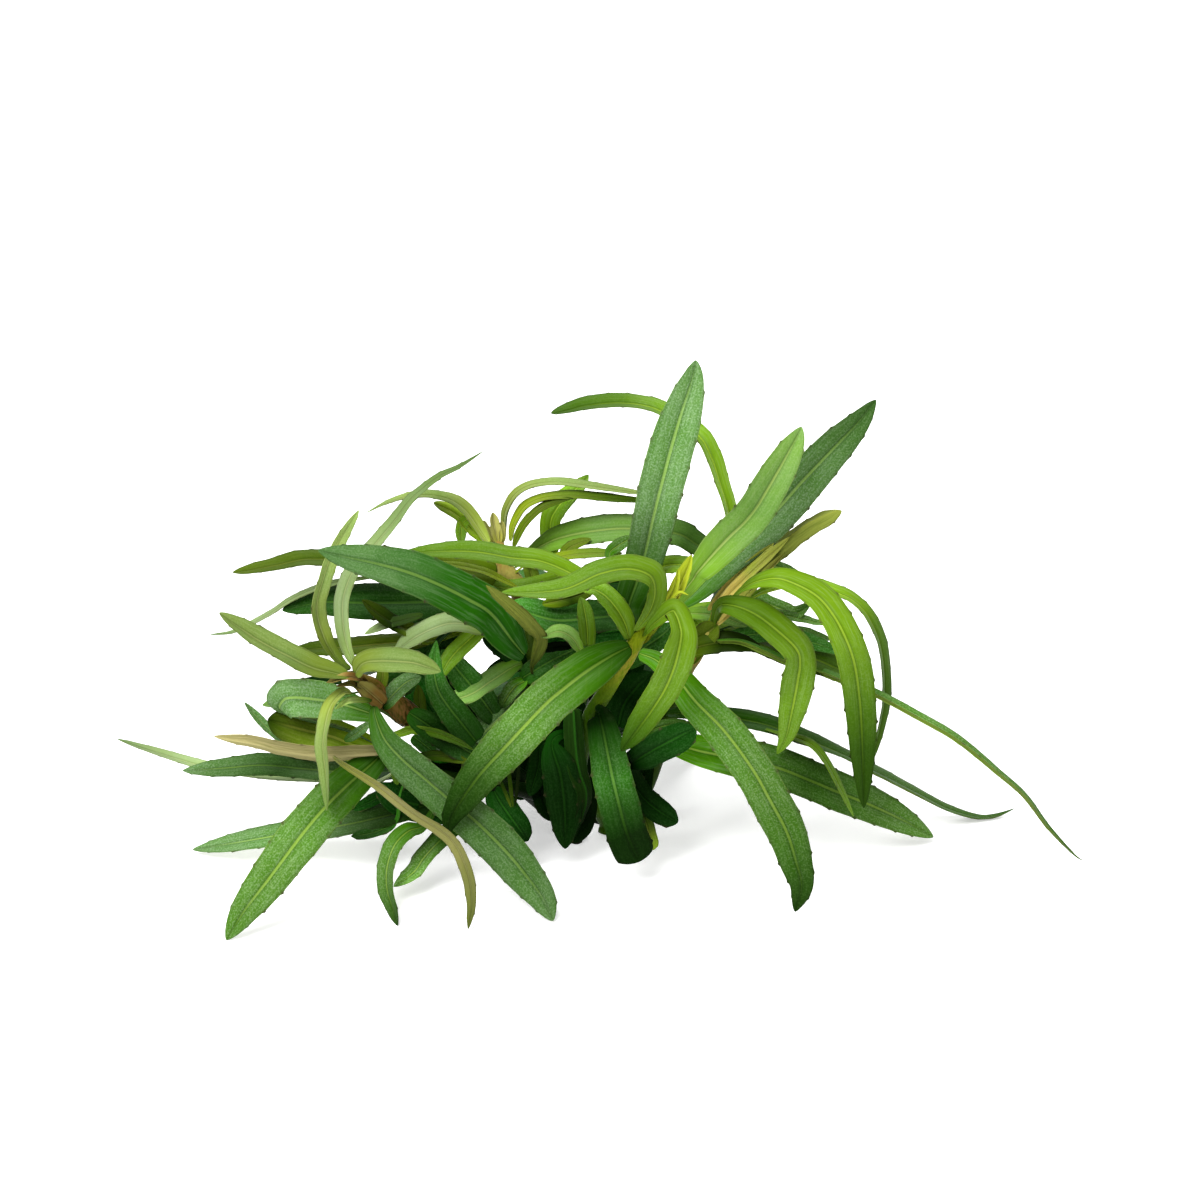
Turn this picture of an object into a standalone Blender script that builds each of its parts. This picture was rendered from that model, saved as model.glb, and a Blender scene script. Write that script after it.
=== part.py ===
"""A clump of Pogostemon stellatus: seven cut shoots with their growing tips and whorled leaves.

Lengths are in millimetres and are scaled to metres as each mesh is made. +Z is up, +X runs
across the clump and -Y is its front. The origin is the middle of the front stem's cut end, which
stands on the table.

The clump was measured from the front, by a line of sight that comes down at SIGHT_ANGLE from
SIGHT_DISTANCE away. So each route is a list of (across, rise, depth): across and rise are read
on a sheet held square to that line of sight at SHEET_CENTRE, with rise counted from SHEET_BASE
below its centre, and depth is how far behind the sheet's centre the point lies, along +Y.
"""

import math

import bmesh
import bpy
import numpy as np
from mathutils import Vector

MM = 0.001

SIGHT_ANGLE = math.radians(25.0)
SIGHT_DISTANCE = 750.0
SHEET_BASE = 43.7
SHEET_CENTRE = Vector((-1.0, -3.6, 45.8))

LEAF_STATIONS = 13
LEAF_THICKNESS = 0.7
LEAF_WIDEST = 0.45
LEAF_BASE_WIDTH = 0.35
LEAF_TIP_BLUNTNESS = 2.8
TIP_THICKNESS = 0.3

STEM_SIDES_RESOLUTION = 2
STEM_STEP = 4.5
STEM_RADIUS = 1.45
KNUCKLE_SWELLING = 0.18

BUD_SIDES = 8
BUD_RINGS = 6
BUD_RADIUS = 1.4

FORWARD = Vector((0.0, math.cos(SIGHT_ANGLE), -math.sin(SIGHT_ANGLE)))
SHEET_UP = Vector((0.0, math.sin(SIGHT_ANGLE), math.cos(SIGHT_ANGLE)))
SIGHT_POINT = SHEET_CENTRE - FORWARD * SIGHT_DISTANCE

# Finishes: base colour, roughness.
FINISHES = {
    "leaf": ((0.10, 0.24, 0.07), 0.5),
    "pale_leaf": ((0.30, 0.42, 0.13), 0.55),
    "stem": ((0.30, 0.32, 0.08), 0.4),
    "bud": ((0.50, 0.45, 0.18), 0.5),
}

# Each stem: its cut end on the table (x, y), its route up from there, and its radius.
STEMS = {
    "front_stem": ((0, 0), [(-2.5, 12, -1), (-3.5, 16, -4), (-2.5, 21, -6), (-1.5, 24.5, -7),
                             (1, 28.5, -8), (5.5, 36, -9), (7.5, 38.5, -9)], 1.4),
    "right_stem": ((4.2, 2.2), [(8, 14, 6), (11.3, 24, 5), (13.8, 31.5, 3), (16.4, 36, 2),
                                (18.5, 38.5, 1)], 1.4),
    "rear_stem": ((-5, 5.4), [(-9, 17, 7), (-11.5, 28, 5), (-11, 34, 4), (-12, 39.5, 8),
                           (-13.5, 45.5, 11), (-16, 49, 13), (-17, 53, 14)], 1.6),
    "left_stem": ((-5.8, 1.2), [(-9, 10, 3), (-14, 14, -1), (-22, 18.5, -5), (-31, 23.5, -8),
                               (-35, 26.5, -9), (-37, 28, -9.5), (-39, 29.5, -10.3)], 1.6),
    "low_left_stem": ((-5.3, -3.1), [(-8.5, 10.3, -2), (-14, 12.3, -5), (-22, 13.4, -8.5),
                                     (-33, 15.5, -10), (-36, 17, -10)], 1.3),
    "low_right_stem": ((3.4, -2.6), [(6, 9, -0.5), (7.5, 16, -2), (9, 21, -2.5), (9.5, 23, -2)], 1.4),
    "back_stem": ((-1, 4.6), [(1, 15, 9.5), (0, 24, 12), (-1, 31.5, 15)], 1.5),
}

# Each growing tip: its route from the stem to its point, and its radius.
BUDS = {
    "front_bud": ([(8.3, 39.8, -9), (10, 42.5, -8.5), (12.5, 46, -8), (15.5, 50.5, -8)], 1.4),
    "right_bud": ([(19.6, 39.8, 1), (22.4, 44, 1.5), (25.8, 47.8, 2), (28.5, 50.3, 2.4),
                   (31.3, 53.2, 2.8)], 1.6),
    "rear_bud": ([(-17.2, 54, 14), (-17.5, 56.5, 14.5), (-18, 58.5, 15)], 1.5),
    "left_bud": ([(-40.2, 29.9, -11.5), (-42.2, 30.5, -12.7), (-45.5, 30.3, -14)], 1.45),
}

# Each leaf: its midrib's route from base to tip, its full width, the turns of its face away
# from the line of sight in degrees from base to tip, its fold and its finish.
LEAVES = {
    "front_left_leaf": ([(5, 36, -11.5), (2, 34.5, -13.3), (-2, 32, -15), (-6, 29, -16),
                         (-9.5, 26, -17.5), (-16.5, 18.5, -20), (-20.5, 14, -21.5), (-24.5, 8, -22.5),
                         (-25.5, 4.5, -23)], 8, (10, 8, 0), 12, "leaf"),
    "front_bright_leaf": ([(6, 38.5, -11.5), (8.4, 41.5, -12.5), (9.5, 44.8, -13), (8.7, 47.9, -14),
                           (5, 49.2, -15), (0, 48.4, -16), (-6.5, 45.7, -17), (-16.4, 45, -18)],
                          6.5, (60, 50, 50, 55), 15, "pale_leaf"),
    "front_short_leaf": ([(7.6, 38.3, -14.5), (9, 40, -15.5), (12.2, 42.2, -17.5), (13.8, 39, -20),
                          (13.5, 36, -21), (12, 31.5, -22), (9.5, 27, -22.5), (3.5, 18.5, -23)],
                         6, (-40, -35, 20, 25), 25, "leaf"),
    "front_right_leaf": ([(6.5, 34.8, -12), (9.5, 33.5, -13.2), (13, 30.3, -15.5), (16, 26.6, -17),
                          (20.7, 21.8, -19), (25.4, 15.5, -21), (28.3, 10.3, -22.5), (31.1, 5, -23.5),
                          (32.7, 0, -24.5), (33.6, -4, -25), (32.5, -8.3, -25.2)],
                         6.9, (20, 5, 0), 12, "leaf"),
    "upright_leaf": ([(4.8, 42.5, -4.5), (6.2, 46.7, -3), (7.6, 51.3, -1), (9, 57.5, 0.5), (11.4, 67, 3),
                      (13.4, 74, 4), (15.3, 80, 5), (16, 83.7, 5)], 7.8, (10, 10), 15, "leaf"),
    "pale_upright_leaf": ([(15.5, 47, -5), (16.5, 48.5, -5), (21, 53.5, -4), (25, 57.5, -3),
                           (28.3, 62.5, -1), (32.1, 69.4, 2), (33.6, 72.6, 3)],
                          6.6, (10, 10), 18, "pale_leaf"),
    "dark_upright_leaf": ([(14, 43.5, -1), (15.9, 45.3, 0), (20.7, 50.8, 3), (28.3, 57.3, 5.5),
                           (33.7, 63.3, 7.5), (38.6, 68.5, 9), (43, 73.2, 10), (46, 77.1, 11)],
                          7.8, (10, 10), 15, "leaf"),
    "right_bud_leaf": ([(28.2, 49.2, 6), (30.8, 51.6, 6), (33.4, 53.8, 6.5), (36.8, 56.3, 7),
                        (40.3, 58.6, 8)], 4.4, (130, 130), 20, "pale_leaf"),
    "right_arch_leaf": ([(23.5, 45.4, -1.5), (26, 46.9, -3), (29.5, 47.5, -5), (33, 46.4, -6),
                         (36.7, 44.4, -7), (39.6, 41.3, -8.5), (41.7, 37.4, -10), (42.9, 33, -11),
                         (43.3, 27, -11.5), (43.6, 18.5, -11.5), (44, 9, -11.5)],
                        5.5, (-50, -30, 0, -10), 15, "leaf"),
    "right_outer_arch": ([(25.5, 44.5, 5.5), (27.5, 45.6, 5), (31, 46.5, 5), (35, 46.7, 5),
                          (40, 45.1, 4), (42.5, 43.8, 4), (44.9, 41.3, 3.5), (46.9, 37, 3),
                          (47.7, 32, 2.5), (47.4, 26.7, 1), (46.3, 22, 0), (44.9, 16.8, -1)],
                         4.4, (-65, -60, -65, -60), 20, "pale_leaf"),
    "right_kinked_leaf": ([(19.5, 42.5, -1.5), (22, 43, -4), (26, 41.5, -6), (30, 38.5, -7.5),
                           (33, 35.5, -8.5), (33.5, 33, -9), (33, 30, -9), (32, 25.5, -8.5),
                           (31, 21, -8), (29.5, 18, -8)], 7, (-45, -35, -35, 15, 15), 12, "leaf"),
    "right_dark_leaf": ([(14.8, 41.5, 7), (19, 41.2, 6.5), (22, 39.8, 5), (26, 38, 3), (31.5, 35.7, 1),
                         (36.5, 33.9, 1), (40.5, 32.1, 2), (44.8, 30.5, 3)], 8.4, (-45, -45), 12, "leaf"),
    "right_long_leaf": ([(19.5, 37, -1.5), (23.5, 37, -2), (27.5, 35.5, -3.5), (31.5, 33.7, -4.5),
                         (36.5, 32.2, -5.5), (40.5, 30.7, -6), (45.5, 28.7, -6.5), (53.5, 24.4, -7),
                         (60, 20.6, -7.5), (66.5, 15.2, -7.5), (71, 11.2, -7.5), (75, 5.8, -7.5),
                         (79, 1.4, -7.3), (80.8, 0.1, -7.2)], 4.4, (-75, -75), 25, "leaf"),
    "high_arch_leaf": ([(22.8, 51, 9), (21.8, 58.5, 10), (20.4, 63.3, 11), (18.9, 67.8, 12),
                        (16.6, 71.6, 13), (10.7, 75.4, 14), (7.2, 76.6, 14), (2.7, 77, 14),
                        (-2.3, 76.5, 13.5), (-5, 75.8, 13), (-8.2, 74.8, 12)], 5.8, (60, 60), 20, "leaf"),
    "rear_thin_arch": ([(-16.1, 53.5, 17), (-16.1, 57.7, 17), (-15.3, 60, 17), (-14.1, 61.6, 17.2),
                        (-12.4, 62.7, 17.5), (-10.2, 63.3, 17.8), (-6.7, 63.5, 18), (-0.5, 62.7, 18),
                        (4, 62, 18), (8.6, 61.3, 18)], 2.8, (-60, -60), 20, "pale_leaf"),
    "rear_left_arch": ([(-18.3, 53, 12), (-19, 54.2, 12), (-20.6, 56.7, 12), (-22.1, 58.7, 12),
                        (-24, 60.2, 11.5), (-26, 61, 11), (-28.4, 61.4, 11), (-31, 61.3, 10),
                        (-33.4, 60.8, 9.5), (-36, 59.8, 9), (-39, 58.2, 8)],
                       4.2, (60, 60), 20, "pale_leaf"),
    "rear_bright_leaf": ([(1.5, 44, 6), (-1.5, 46.5, 5), (-6, 49, 4), (-10, 50.5, 3), (-14.5, 51, 2),
                          (-20.5, 52, 1), (-27, 52, 0), (-33.5, 51.5, -1)], 5.5, (50, 50), 15, "leaf"),
    "rear_grey_leaf": ([(-12.5, 51.3, 17.5), (-10, 52.8, 17), (-7, 54.2, 16), (-1.5, 55.4, 15.5),
                        (4.5, 55.9, 15), (12.5, 55.1, 15), (16, 53.7, 15), (19.5, 51.4, 14),
                        (23, 48.5, 13)], 6.8, (-45, -45), 12, "leaf"),
    "dark_broad_leaf": ([(-12.5, 34.5, -1), (-14.5, 37, -4), (-18, 41.5, -8), (-22, 44, -10),
                         (-27, 46.5, -11), (-32, 48.5, -11.5), (-37.5, 50, -12), (-42.5, 51, -12),
                         (-47, 52, -12)], 8.2, (25, 22), 12, "leaf"),
    "mid_pale_leaf": ([(-13, 33.3, 1.5), (-15, 32.5, 1), (-18.5, 30.3, 0), (-21.5, 28.3, -1),
                       (-25.6, 26.9, -2)], 5.3, (50, 50), 15, "pale_leaf"),
    "pale_tongue_leaf": ([(-19.8, 39, 1), (-22.8, 40, 0.3), (-26, 39.9, -0.3), (-30.5, 38, -1),
                          (-34.5, 35, -2)], 5.6, (50, 50), 15, "pale_leaf"),
    "behind_left_leaf": ([(-20, 42, 8), (-26.5, 43.5, 7), (-33.5, 43.5, 6), (-39, 43.5, 5),
                          (-46.5, 43.5, 4), (-53, 42, 3)], 8, (38, 38), 12, "leaf"),
    "behind_olive_leaf": ([(-33.5, 50.5, 6), (-46, 50.8, 5), (-50, 50.7, 4), (-54.5, 49.7, 3),
                           (-61.3, 48.3, 2)], 5.4, (58, 58), 15, "leaf"),
    "left_pale_leaf": ([(-41.6, 31, -15.5), (-44.5, 31.9, -16), (-48.2, 32.9, -16.3),
                        (-52.7, 35.2, -16.5), (-57, 37.5, -16.5), (-60.2, 39.5, -16.5),
                        (-63.5, 41.6, -16.5)], 5.5, (45, 45), 25, "pale_leaf"),
    "left_inner_arch": ([(-41.6, 32.2, -13), (-42.8, 33, -12.5), (-44.2, 34.7, -11.5),
                         (-45.6, 37.2, -11), (-46.7, 40.6, -9.5), (-46.8, 43.5, -9), (-46, 46.5, -8),
                         (-44.9, 50, -7), (-43, 54, -6), (-40.2, 58.7, -5)],
                        4, (55, 55), 20, "pale_leaf"),
    "left_tall_leaf": ([(-40.6, 32.4, -10.5), (-41.7, 34.3, -9.5), (-42.6, 37, -7.5), (-43.1, 40.5, -6),
                        (-43, 44.3, -5), (-41.3, 48.7, -3), (-37.6, 53.2, 0), (-34.4, 57, 2),
                        (-31.8, 60.4, 3.5), (-29.2, 62.7, 5), (-26.7, 64.5, 6), (-23.3, 66.1, 7),
                        (-19.3, 68.6, 8)], 4.4, (-50, -50), 15, "pale_leaf"),
    "left_short_leaf": ([(-41, 31.5, -14.5), (-39.8, 33.2, -15), (-37.5, 33.8, -15.5), (-32, 33.6, -16),
                         (-29, 32.8, -16), (-26.5, 31.8, -16)], 5.6, (-45, -40), 15, "pale_leaf"),
    "left_hanging_leaf": ([(-41.5, 28.5, -14), (-43, 28.5, -15), (-45, 26.5, -17.5), (-46, 23.5, -19.5),
                           (-46.5, 19.5, -21), (-46, 14.5, -22.5), (-45.5, 8.5, -25)],
                          4, (55, 55), 20, "pale_leaf"),
    "left_front_leaf": ([(-37.5, 26, -13), (-37.5, 24.5, -14), (-36, 20.5, -15.5), (-33, 17, -17),
                         (-29, 13.5, -18.5), (-25.5, 10.5, -20), (-20.3, 6.2, -21.5), (-15.4, 1.6, -23),
                         (-12.4, -2, -24.5), (-9.8, -5.8, -26.4), (-7.8, -9.8, -28)],
                        7.8, (0, 20, 15, 5), 15, "leaf"),
    "left_folded_leaf": ([(-37, 24.5, -9), (-43.5, 26.5, -11), (-48.8, 27.3, -12.5),
                          (-51.6, 27.4, -12.8), (-52.5, 26.7, -11.8), (-51.6, 25.7, -10.8),
                          (-48.4, 24.2, -10), (-43, 22, -8.5), (-37.5, 19.5, -7)],
                         6.5, (30, 15, 0, -10, -10), 8, "leaf"),
    "low_far_leaf": ([(-37.5, 13.4, -4), (-41.5, 13.7, -3.5), (-47.5, 14.3, -3), (-56, 14.8, -2),
                      (-63.5, 15.7, -1), (-70.5, 17.5, 0), (-80.6, 20.6, 1)],
                     5, (70, 70), 15, "pale_leaf"),
    "low_dark_leaf": ([(-37, 14.6, -9), (-43.5, 15.3, -8.5), (-50, 15.9, -8), (-56, 16.4, -7.5),
                       (-62.5, 15.9, -7), (-69.6, 15.3, -6)], 6, (50, 50), 12, "leaf"),
    "low_tan_leaf": ([(-41, 18.3, -14.8), (-43.5, 18.2, -15.2),
                      (-47.5, 18.2, -15), (-53.5, 19.1, -15.5), (-57.5, 20.1, -15.5), (-64.4, 21, -15)],
                     4.6, (125, 125), 12, "pale_leaf"),
    "low_strip_leaf": ([(-44.5, 17.5, -17.5), (-42.5, 16, -19.5), (-37, 12.5, -22), (-31.5, 8.2, -24.5),
                        (-26.2, 4.8, -26), (-24, 2.4, -27), (-22.7, -0.4, -28), (-21.9, -3, -28.5),
                        (-21.6, -5, -29), (-21.5, -7.5, -30), (-22, -11.2, -30.8)],
                       3.2, (55, 55, 35), 12, "pale_leaf"),
    "low_front_leaf": ([(-36, 18.5, -12.5), (-38, 16.5, -14.5), (-42.5, 12.5, -18), (-46, 9, -22),
                        (-49.4, 5, -25.5), (-52.8, 0.5, -28.5), (-55.8, -3.5, -30.5),
                        (-59.4, -8.2, -32.5), (-62.3, -13, -34.2)], 7.4, (5, 5), 12, "leaf"),
    "low_side_leaf": ([(-27, 10.5, -7), (-34, 8.4, -8), (-43.5, 6.3, -8), (-51.5, 5.1, -7),
                       (-60, 3.6, -6), (-68, 2.1, -4.2)], 6.2, (50, 50), 12, "leaf"),
    "low_narrow_leaf": ([(-28.5, 6.4, -14.5), (-31.7, 5.5, -16.8), (-33.7, 3.9, -18.5), (-34.9, 2, -20),
                         (-35.8, -1.3, -22.5), (-35.7, -4.6, -25), (-34.9, -7.2, -27),
                         (-33.7, -10.6, -29.4)], 4.4, (45, 45), 15, "leaf"),
    "lower_right_leaf": ([(9.5, 21, -6.3), (11, 20.3, -7.3), (16.5, 18.7, -8.5), (21.5, 17.7, -8.5),
                          (29.5, 15.5, -8), (35, 13.3, -7), (40, 11.2, -6), (46, 9.2, -4),
                          (51.5, 6.6, -2), (55.6, 4.2, -0.3)], 6.9, (-25, -25), 12, "leaf"),
    "lower_right_long_leaf": ([(11, 24.3, -3), (15, 24.3, -3), (24.5, 23.5, -2.5), (29.2, 22.5, -2),
                               (33.4, 21.2, -1.5), (36.7, 20, -1), (41.7, 17.8, 0), (45.3, 15.8, 1),
                               (48.3, 14.3, 2.5), (53, 11.8, 5), (58, 9.2, 7), (63, 7.7, 8.5),
                               (66, 7.9, 9), (69.2, 9, 9.5)],
                              6.2, (-50, -55, -62, -74, -78, -78, -78), 15, "leaf"),
    "centre_low_leaf": ([(-8, 19.8, -10), (-6.6, 14.5, -10.5), (-5.9, 9, -11), (-5.8, 2.2, -11.5)],
                        6.3, (0, 0), 12, "leaf"),
    "centre_front_leaf": ([(0.2, 23.3, -12), (0.9, 20, -13), (1.9, 15, -14), (3.3, 9, -15),
                           (4.4, 5, -15.5), (6.5, 0, -16)], 7, (0, 0), 12, "leaf"),
    "centre_dark_leaf": ([(5.5, 15.5, -10.5), (9, 18, -11.5), (12.7, 20.4, -12), (16, 22.3, -12)],
                         6, (20, 20), 12, "leaf"),
    "back_left_leaf": ([(-3.5, 30, 17), (-11, 31, 22), (-20, 27.5, 28), (-27, 22, 32), (-30, 18.8, 33.5)],
                       7, (60, 60), 12, "leaf"),
    "back_middle_leaf": ([(-1, 32, 18), (-2, 35.5, 26), (-3, 36.5, 36), (-4, 33.5, 47), (-4.5, 28.7, 56)],
                         7, (60, 60), 12, "leaf"),
    "back_right_leaf": ([(1.5, 29, 17), (8, 31.5, 22), (12.5, 31.5, 28), (13, 29, 34), (10, 26, 40)],
                        7, (-60, -60), 12, "leaf"),
    "back_low_left_leaf": ([(-2.3, 21.5, 13), (-8, 23, 19), (-15, 21, 27), (-20, 18, 33)],
                           6.5, (60, 60), 12, "leaf"),
    "back_low_right_leaf": ([(2.3, 21.5, 13), (8, 23, 20), (13, 21.5, 28), (17, 19, 35)],
                            6.5, (-60, -60), 12, "leaf"),
    "back_upper_left_leaf": ([(-14, 45, 16), (-13, 47, 24), (-10, 47, 33), (-7, 44, 42), (-5, 39, 49)],
                             6, (-60, -60), 15, "leaf"),
    "back_upper_right_leaf": ([(19, 42, 10), (21, 44, 17), (22, 44.5, 25), (20, 42, 33), (18, 37, 40)],
                              6, (-60, -60), 15, "leaf"),
}


BENT_BACK_LEAVES = {"left_folded_leaf"}


def place(route_point):
    """The place in millimetres of a point read on the sheet, at its own depth."""
    across, rise, depth = route_point
    ray = FORWARD + (across * Vector((1, 0, 0)) + (rise - SHEET_BASE) * SHEET_UP) / SIGHT_DISTANCE
    return SIGHT_POINT + ray * ((depth + SHEET_CENTRE.y - SIGHT_POINT.y) / ray.y)


def smooth_route(points, count):
    """A natural-looking curve through the points, at count places that are evenly spaced along it."""
    points = np.array([tuple(point) for point in points])
    padded = np.vstack([2 * points[0] - points[1], points, 2 * points[-1] - points[-2]])
    dense = []
    for before, start, end, after in zip(padded, padded[1:], padded[2:], padded[3:]):
        step = np.linspace(0, 1, 16, endpoint=False)[:, None]
        dense.append(0.5 * (2 * start + (end - before) * step
                            + (2 * before - 5 * start + 4 * end - after) * step**2
                            + (3 * start - before - 3 * end + after) * step**3))
    dense = np.vstack(dense + [points[-1:]])
    travelled = np.concatenate([[0], np.cumsum(np.linalg.norm(np.diff(dense, axis=0), axis=1))])
    wanted = np.linspace(0, travelled[-1], count)
    return np.stack([np.interp(wanted, travelled, dense[:, axis]) for axis in range(3)], axis=1)


def leaf_frames(route, turns, bent_back=False):
    """The directions across a blade and out of its face, at each place of a route.

    The face is turned about the midrib, away from the line of sight, by the turns in degrees.
    A leaf that is bent back on itself keeps the face of its base, carried round the bend.
    """
    along = np.gradient(route, axis=0)
    along /= np.linalg.norm(along, axis=1)[:, None]
    facing = np.tile(-np.array(FORWARD), (len(route), 1))
    for here in range(len(route)):
        if bent_back and here > 0:
            facing[here] = facing[here - 1]
        facing[here] -= along[here] * (along[here] @ facing[here])
        facing[here] /= np.linalg.norm(facing[here])
    across = np.cross(along, facing)
    share = np.linspace(0, 1, len(route))
    angle = np.radians(np.interp(share, np.linspace(0, 1, len(turns)), turns))[:, None]
    turned_facing = facing * np.cos(angle) + across * np.sin(angle)
    return np.cross(along, turned_facing), turned_facing


def leaf_width(share):
    """The share of its full width that a leaf has at each share of its length."""
    rising = 1 - (1 - LEAF_BASE_WIDTH) * (1 - np.minimum(share / LEAF_WIDEST, 1)) ** 2
    falling = 1 - np.maximum((share - LEAF_WIDEST) / (1 - LEAF_WIDEST), 0) ** LEAF_TIP_BLUNTNESS
    return rising * falling


def new_material(name):
    colour, roughness = FINISHES[name]
    material = bpy.data.materials.new(name)
    material.use_nodes = True
    shader = material.node_tree.nodes["Principled BSDF"]
    shader.inputs["Base Color"].default_value = (*colour, 1)
    shader.inputs["Roughness"].default_value = roughness
    return material


def add_object(name, data, finish):
    data.materials.append(bpy.data.materials.get(finish) or new_material(finish))
    piece = bpy.data.objects.new(name, data)
    bpy.context.collection.objects.link(piece)
    piece.parent = bpy.data.objects["clump"]
    return piece


def loft(name, rings, tip, finish):
    """A closed solid through rings of points, with a flat base and a pointed tip."""
    shape = bmesh.new()
    loops = [[shape.verts.new(point * MM) for point in ring] for ring in rings]
    point = shape.verts.new(tip * MM)
    shape.faces.new(loops[0])
    for lower, upper in zip(loops, loops[1:]):
        for side in range(len(lower)):
            after = (side + 1) % len(lower)
            shape.faces.new((lower[side], lower[after], upper[after], upper[side]))
    for side in range(len(loops[-1])):
        after = (side + 1) % len(loops[-1])
        shape.faces.new((loops[-1][side], loops[-1][after], point))
    bmesh.ops.triangulate(shape, faces=shape.faces)
    bmesh.ops.recalc_face_normals(shape, faces=shape.faces)
    mesh = bpy.data.meshes.new(name)
    shape.to_mesh(mesh)
    shape.free()
    mesh.shade_smooth()
    mesh.set_sharp_from_angle(angle=math.radians(40))
    return add_object(name, mesh, finish)


def add_leaf(name, points, width, turns, fold, finish):
    """A blade folded up along its midrib: two edges, the groove above and the rib below."""
    route = smooth_route([place(point) for point in points], LEAF_STATIONS)
    across, facing = leaf_frames(route, turns, name in BENT_BACK_LEAVES)
    share = np.linspace(0, 1, LEAF_STATIONS)[:-1]
    half = (0.5 * width * leaf_width(share))[:, None]
    thick = (TIP_THICKNESS + (LEAF_THICKNESS - TIP_THICKNESS) * (1 - share))[:, None]
    lift = math.sin(math.radians(fold))
    spread = math.cos(math.radians(fold))
    across, facing = across[:-1], facing[:-1]
    middle = route[:-1] - 0.5 * half * lift * facing
    left = middle + half * (-spread * across + lift * facing)
    right = middle + half * (spread * across + lift * facing)
    rings = np.stack([left, middle - thick * facing, right, middle], axis=1)
    loft(name, rings, route[-1], finish)


def add_bud(name, points, radius):
    """A pointed spindle of folded young leaves."""
    route = smooth_route([place(point) for point in points], BUD_RINGS + 1)
    across, facing = leaf_frames(route, (0, 0))
    around = np.linspace(0, 2 * math.pi, BUD_SIDES, endpoint=False)[None, :, None]
    share = np.linspace(0, 1, BUD_RINGS + 1)[:-1]
    swelling = (radius * (1 - share**2) * (0.7 + 0.6 * share))[:, None, None]
    rings = (route[:-1, None] + swelling * (np.cos(around) * across[:-1, None]
                                            + np.sin(around) * facing[:-1, None]))
    loft(name, rings, route[-1], "bud")


def add_stem(name, cut_end, points, radius):
    """A tapering tube that stands on its cut end, with a knuckle at its top."""
    foot = [np.array((*cut_end, 0.0)), np.array((*cut_end, 2.5))]
    route = foot + [np.array(place(point)) for point in points]
    length = sum(np.linalg.norm(b - a) for a, b in zip(route, route[1:]))
    places = np.vstack([foot[:1], smooth_route(route[1:], max(6, round(length / STEM_STEP)))])
    curve = bpy.data.curves.new(name, "CURVE")
    curve.dimensions = "3D"
    curve.bevel_depth = radius * MM
    curve.bevel_resolution = STEM_SIDES_RESOLUTION
    curve.use_fill_caps = True
    spline = curve.splines.new("POLY")
    spline.points.add(len(places) - 1)
    for index, (point, where) in enumerate(zip(spline.points, places)):
        share = index / (len(places) - 1)
        point.co = (*(where * MM), 1)
        point.radius = 0.95 + KNUCKLE_SWELLING * max(0, 1 - abs(share - 0.9) / 0.15)
    return add_object(name, curve, "stem")


def build():
    for old in list(bpy.data.objects):
        bpy.data.objects.remove(old)
    clump = bpy.data.objects.new("clump", None)
    bpy.context.collection.objects.link(clump)
    for name, (cut_end, points, radius) in STEMS.items():
        add_stem(name, cut_end, points, radius)
    for name, (points, radius) in BUDS.items():
        add_bud(name, points, radius)
    for name, (points, width, turns, fold, finish) in LEAVES.items():
        add_leaf(name, points, width, turns, fold, finish)


build()
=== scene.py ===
"""Looks of a cut clump of Pogostemon stellatus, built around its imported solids.

Lengths are in millimetres until a mesh is made, which is in metres. Routes are lists of
(across, rise, depth), read on a sheet held square to a line of sight that comes down at
SIGHT_ANGLE, as in the part's own source.
"""

import logging
import math
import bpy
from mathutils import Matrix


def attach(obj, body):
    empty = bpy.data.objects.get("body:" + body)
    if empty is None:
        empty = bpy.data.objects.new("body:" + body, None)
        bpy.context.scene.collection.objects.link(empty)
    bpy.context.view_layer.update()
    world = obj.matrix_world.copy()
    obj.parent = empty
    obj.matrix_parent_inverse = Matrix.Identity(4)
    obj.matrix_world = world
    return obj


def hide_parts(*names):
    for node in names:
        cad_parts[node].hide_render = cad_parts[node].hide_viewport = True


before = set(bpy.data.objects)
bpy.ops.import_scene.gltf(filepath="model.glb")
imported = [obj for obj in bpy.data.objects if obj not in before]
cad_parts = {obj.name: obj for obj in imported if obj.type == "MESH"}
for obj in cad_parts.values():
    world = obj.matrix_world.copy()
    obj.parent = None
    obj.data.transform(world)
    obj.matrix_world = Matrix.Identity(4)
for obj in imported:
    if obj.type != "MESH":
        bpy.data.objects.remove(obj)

import zlib
from collections.abc import Iterable
from dataclasses import dataclass, field
from enum import Enum

import bpy
import numpy as np

log = logging.getLogger("clump")

MM = 0.001
BODY = "root"

SIGHT_ANGLE = math.radians(25.0)
SIGHT_DISTANCE = 750.0
SHEET_BASE = 43.7
SHEET_CENTRE = np.array((-1.0, -3.6, 45.8))
ACROSS = np.array((1.0, 0.0, 0.0))
FORWARD = np.array((0.0, math.cos(SIGHT_ANGLE), -math.sin(SIGHT_ANGLE)))
SHEET_UP = np.array((0.0, math.sin(SIGHT_ANGLE), math.cos(SIGHT_ANGLE)))
SIGHT_POINT = SHEET_CENTRE - FORWARD * SIGHT_DISTANCE

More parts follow.
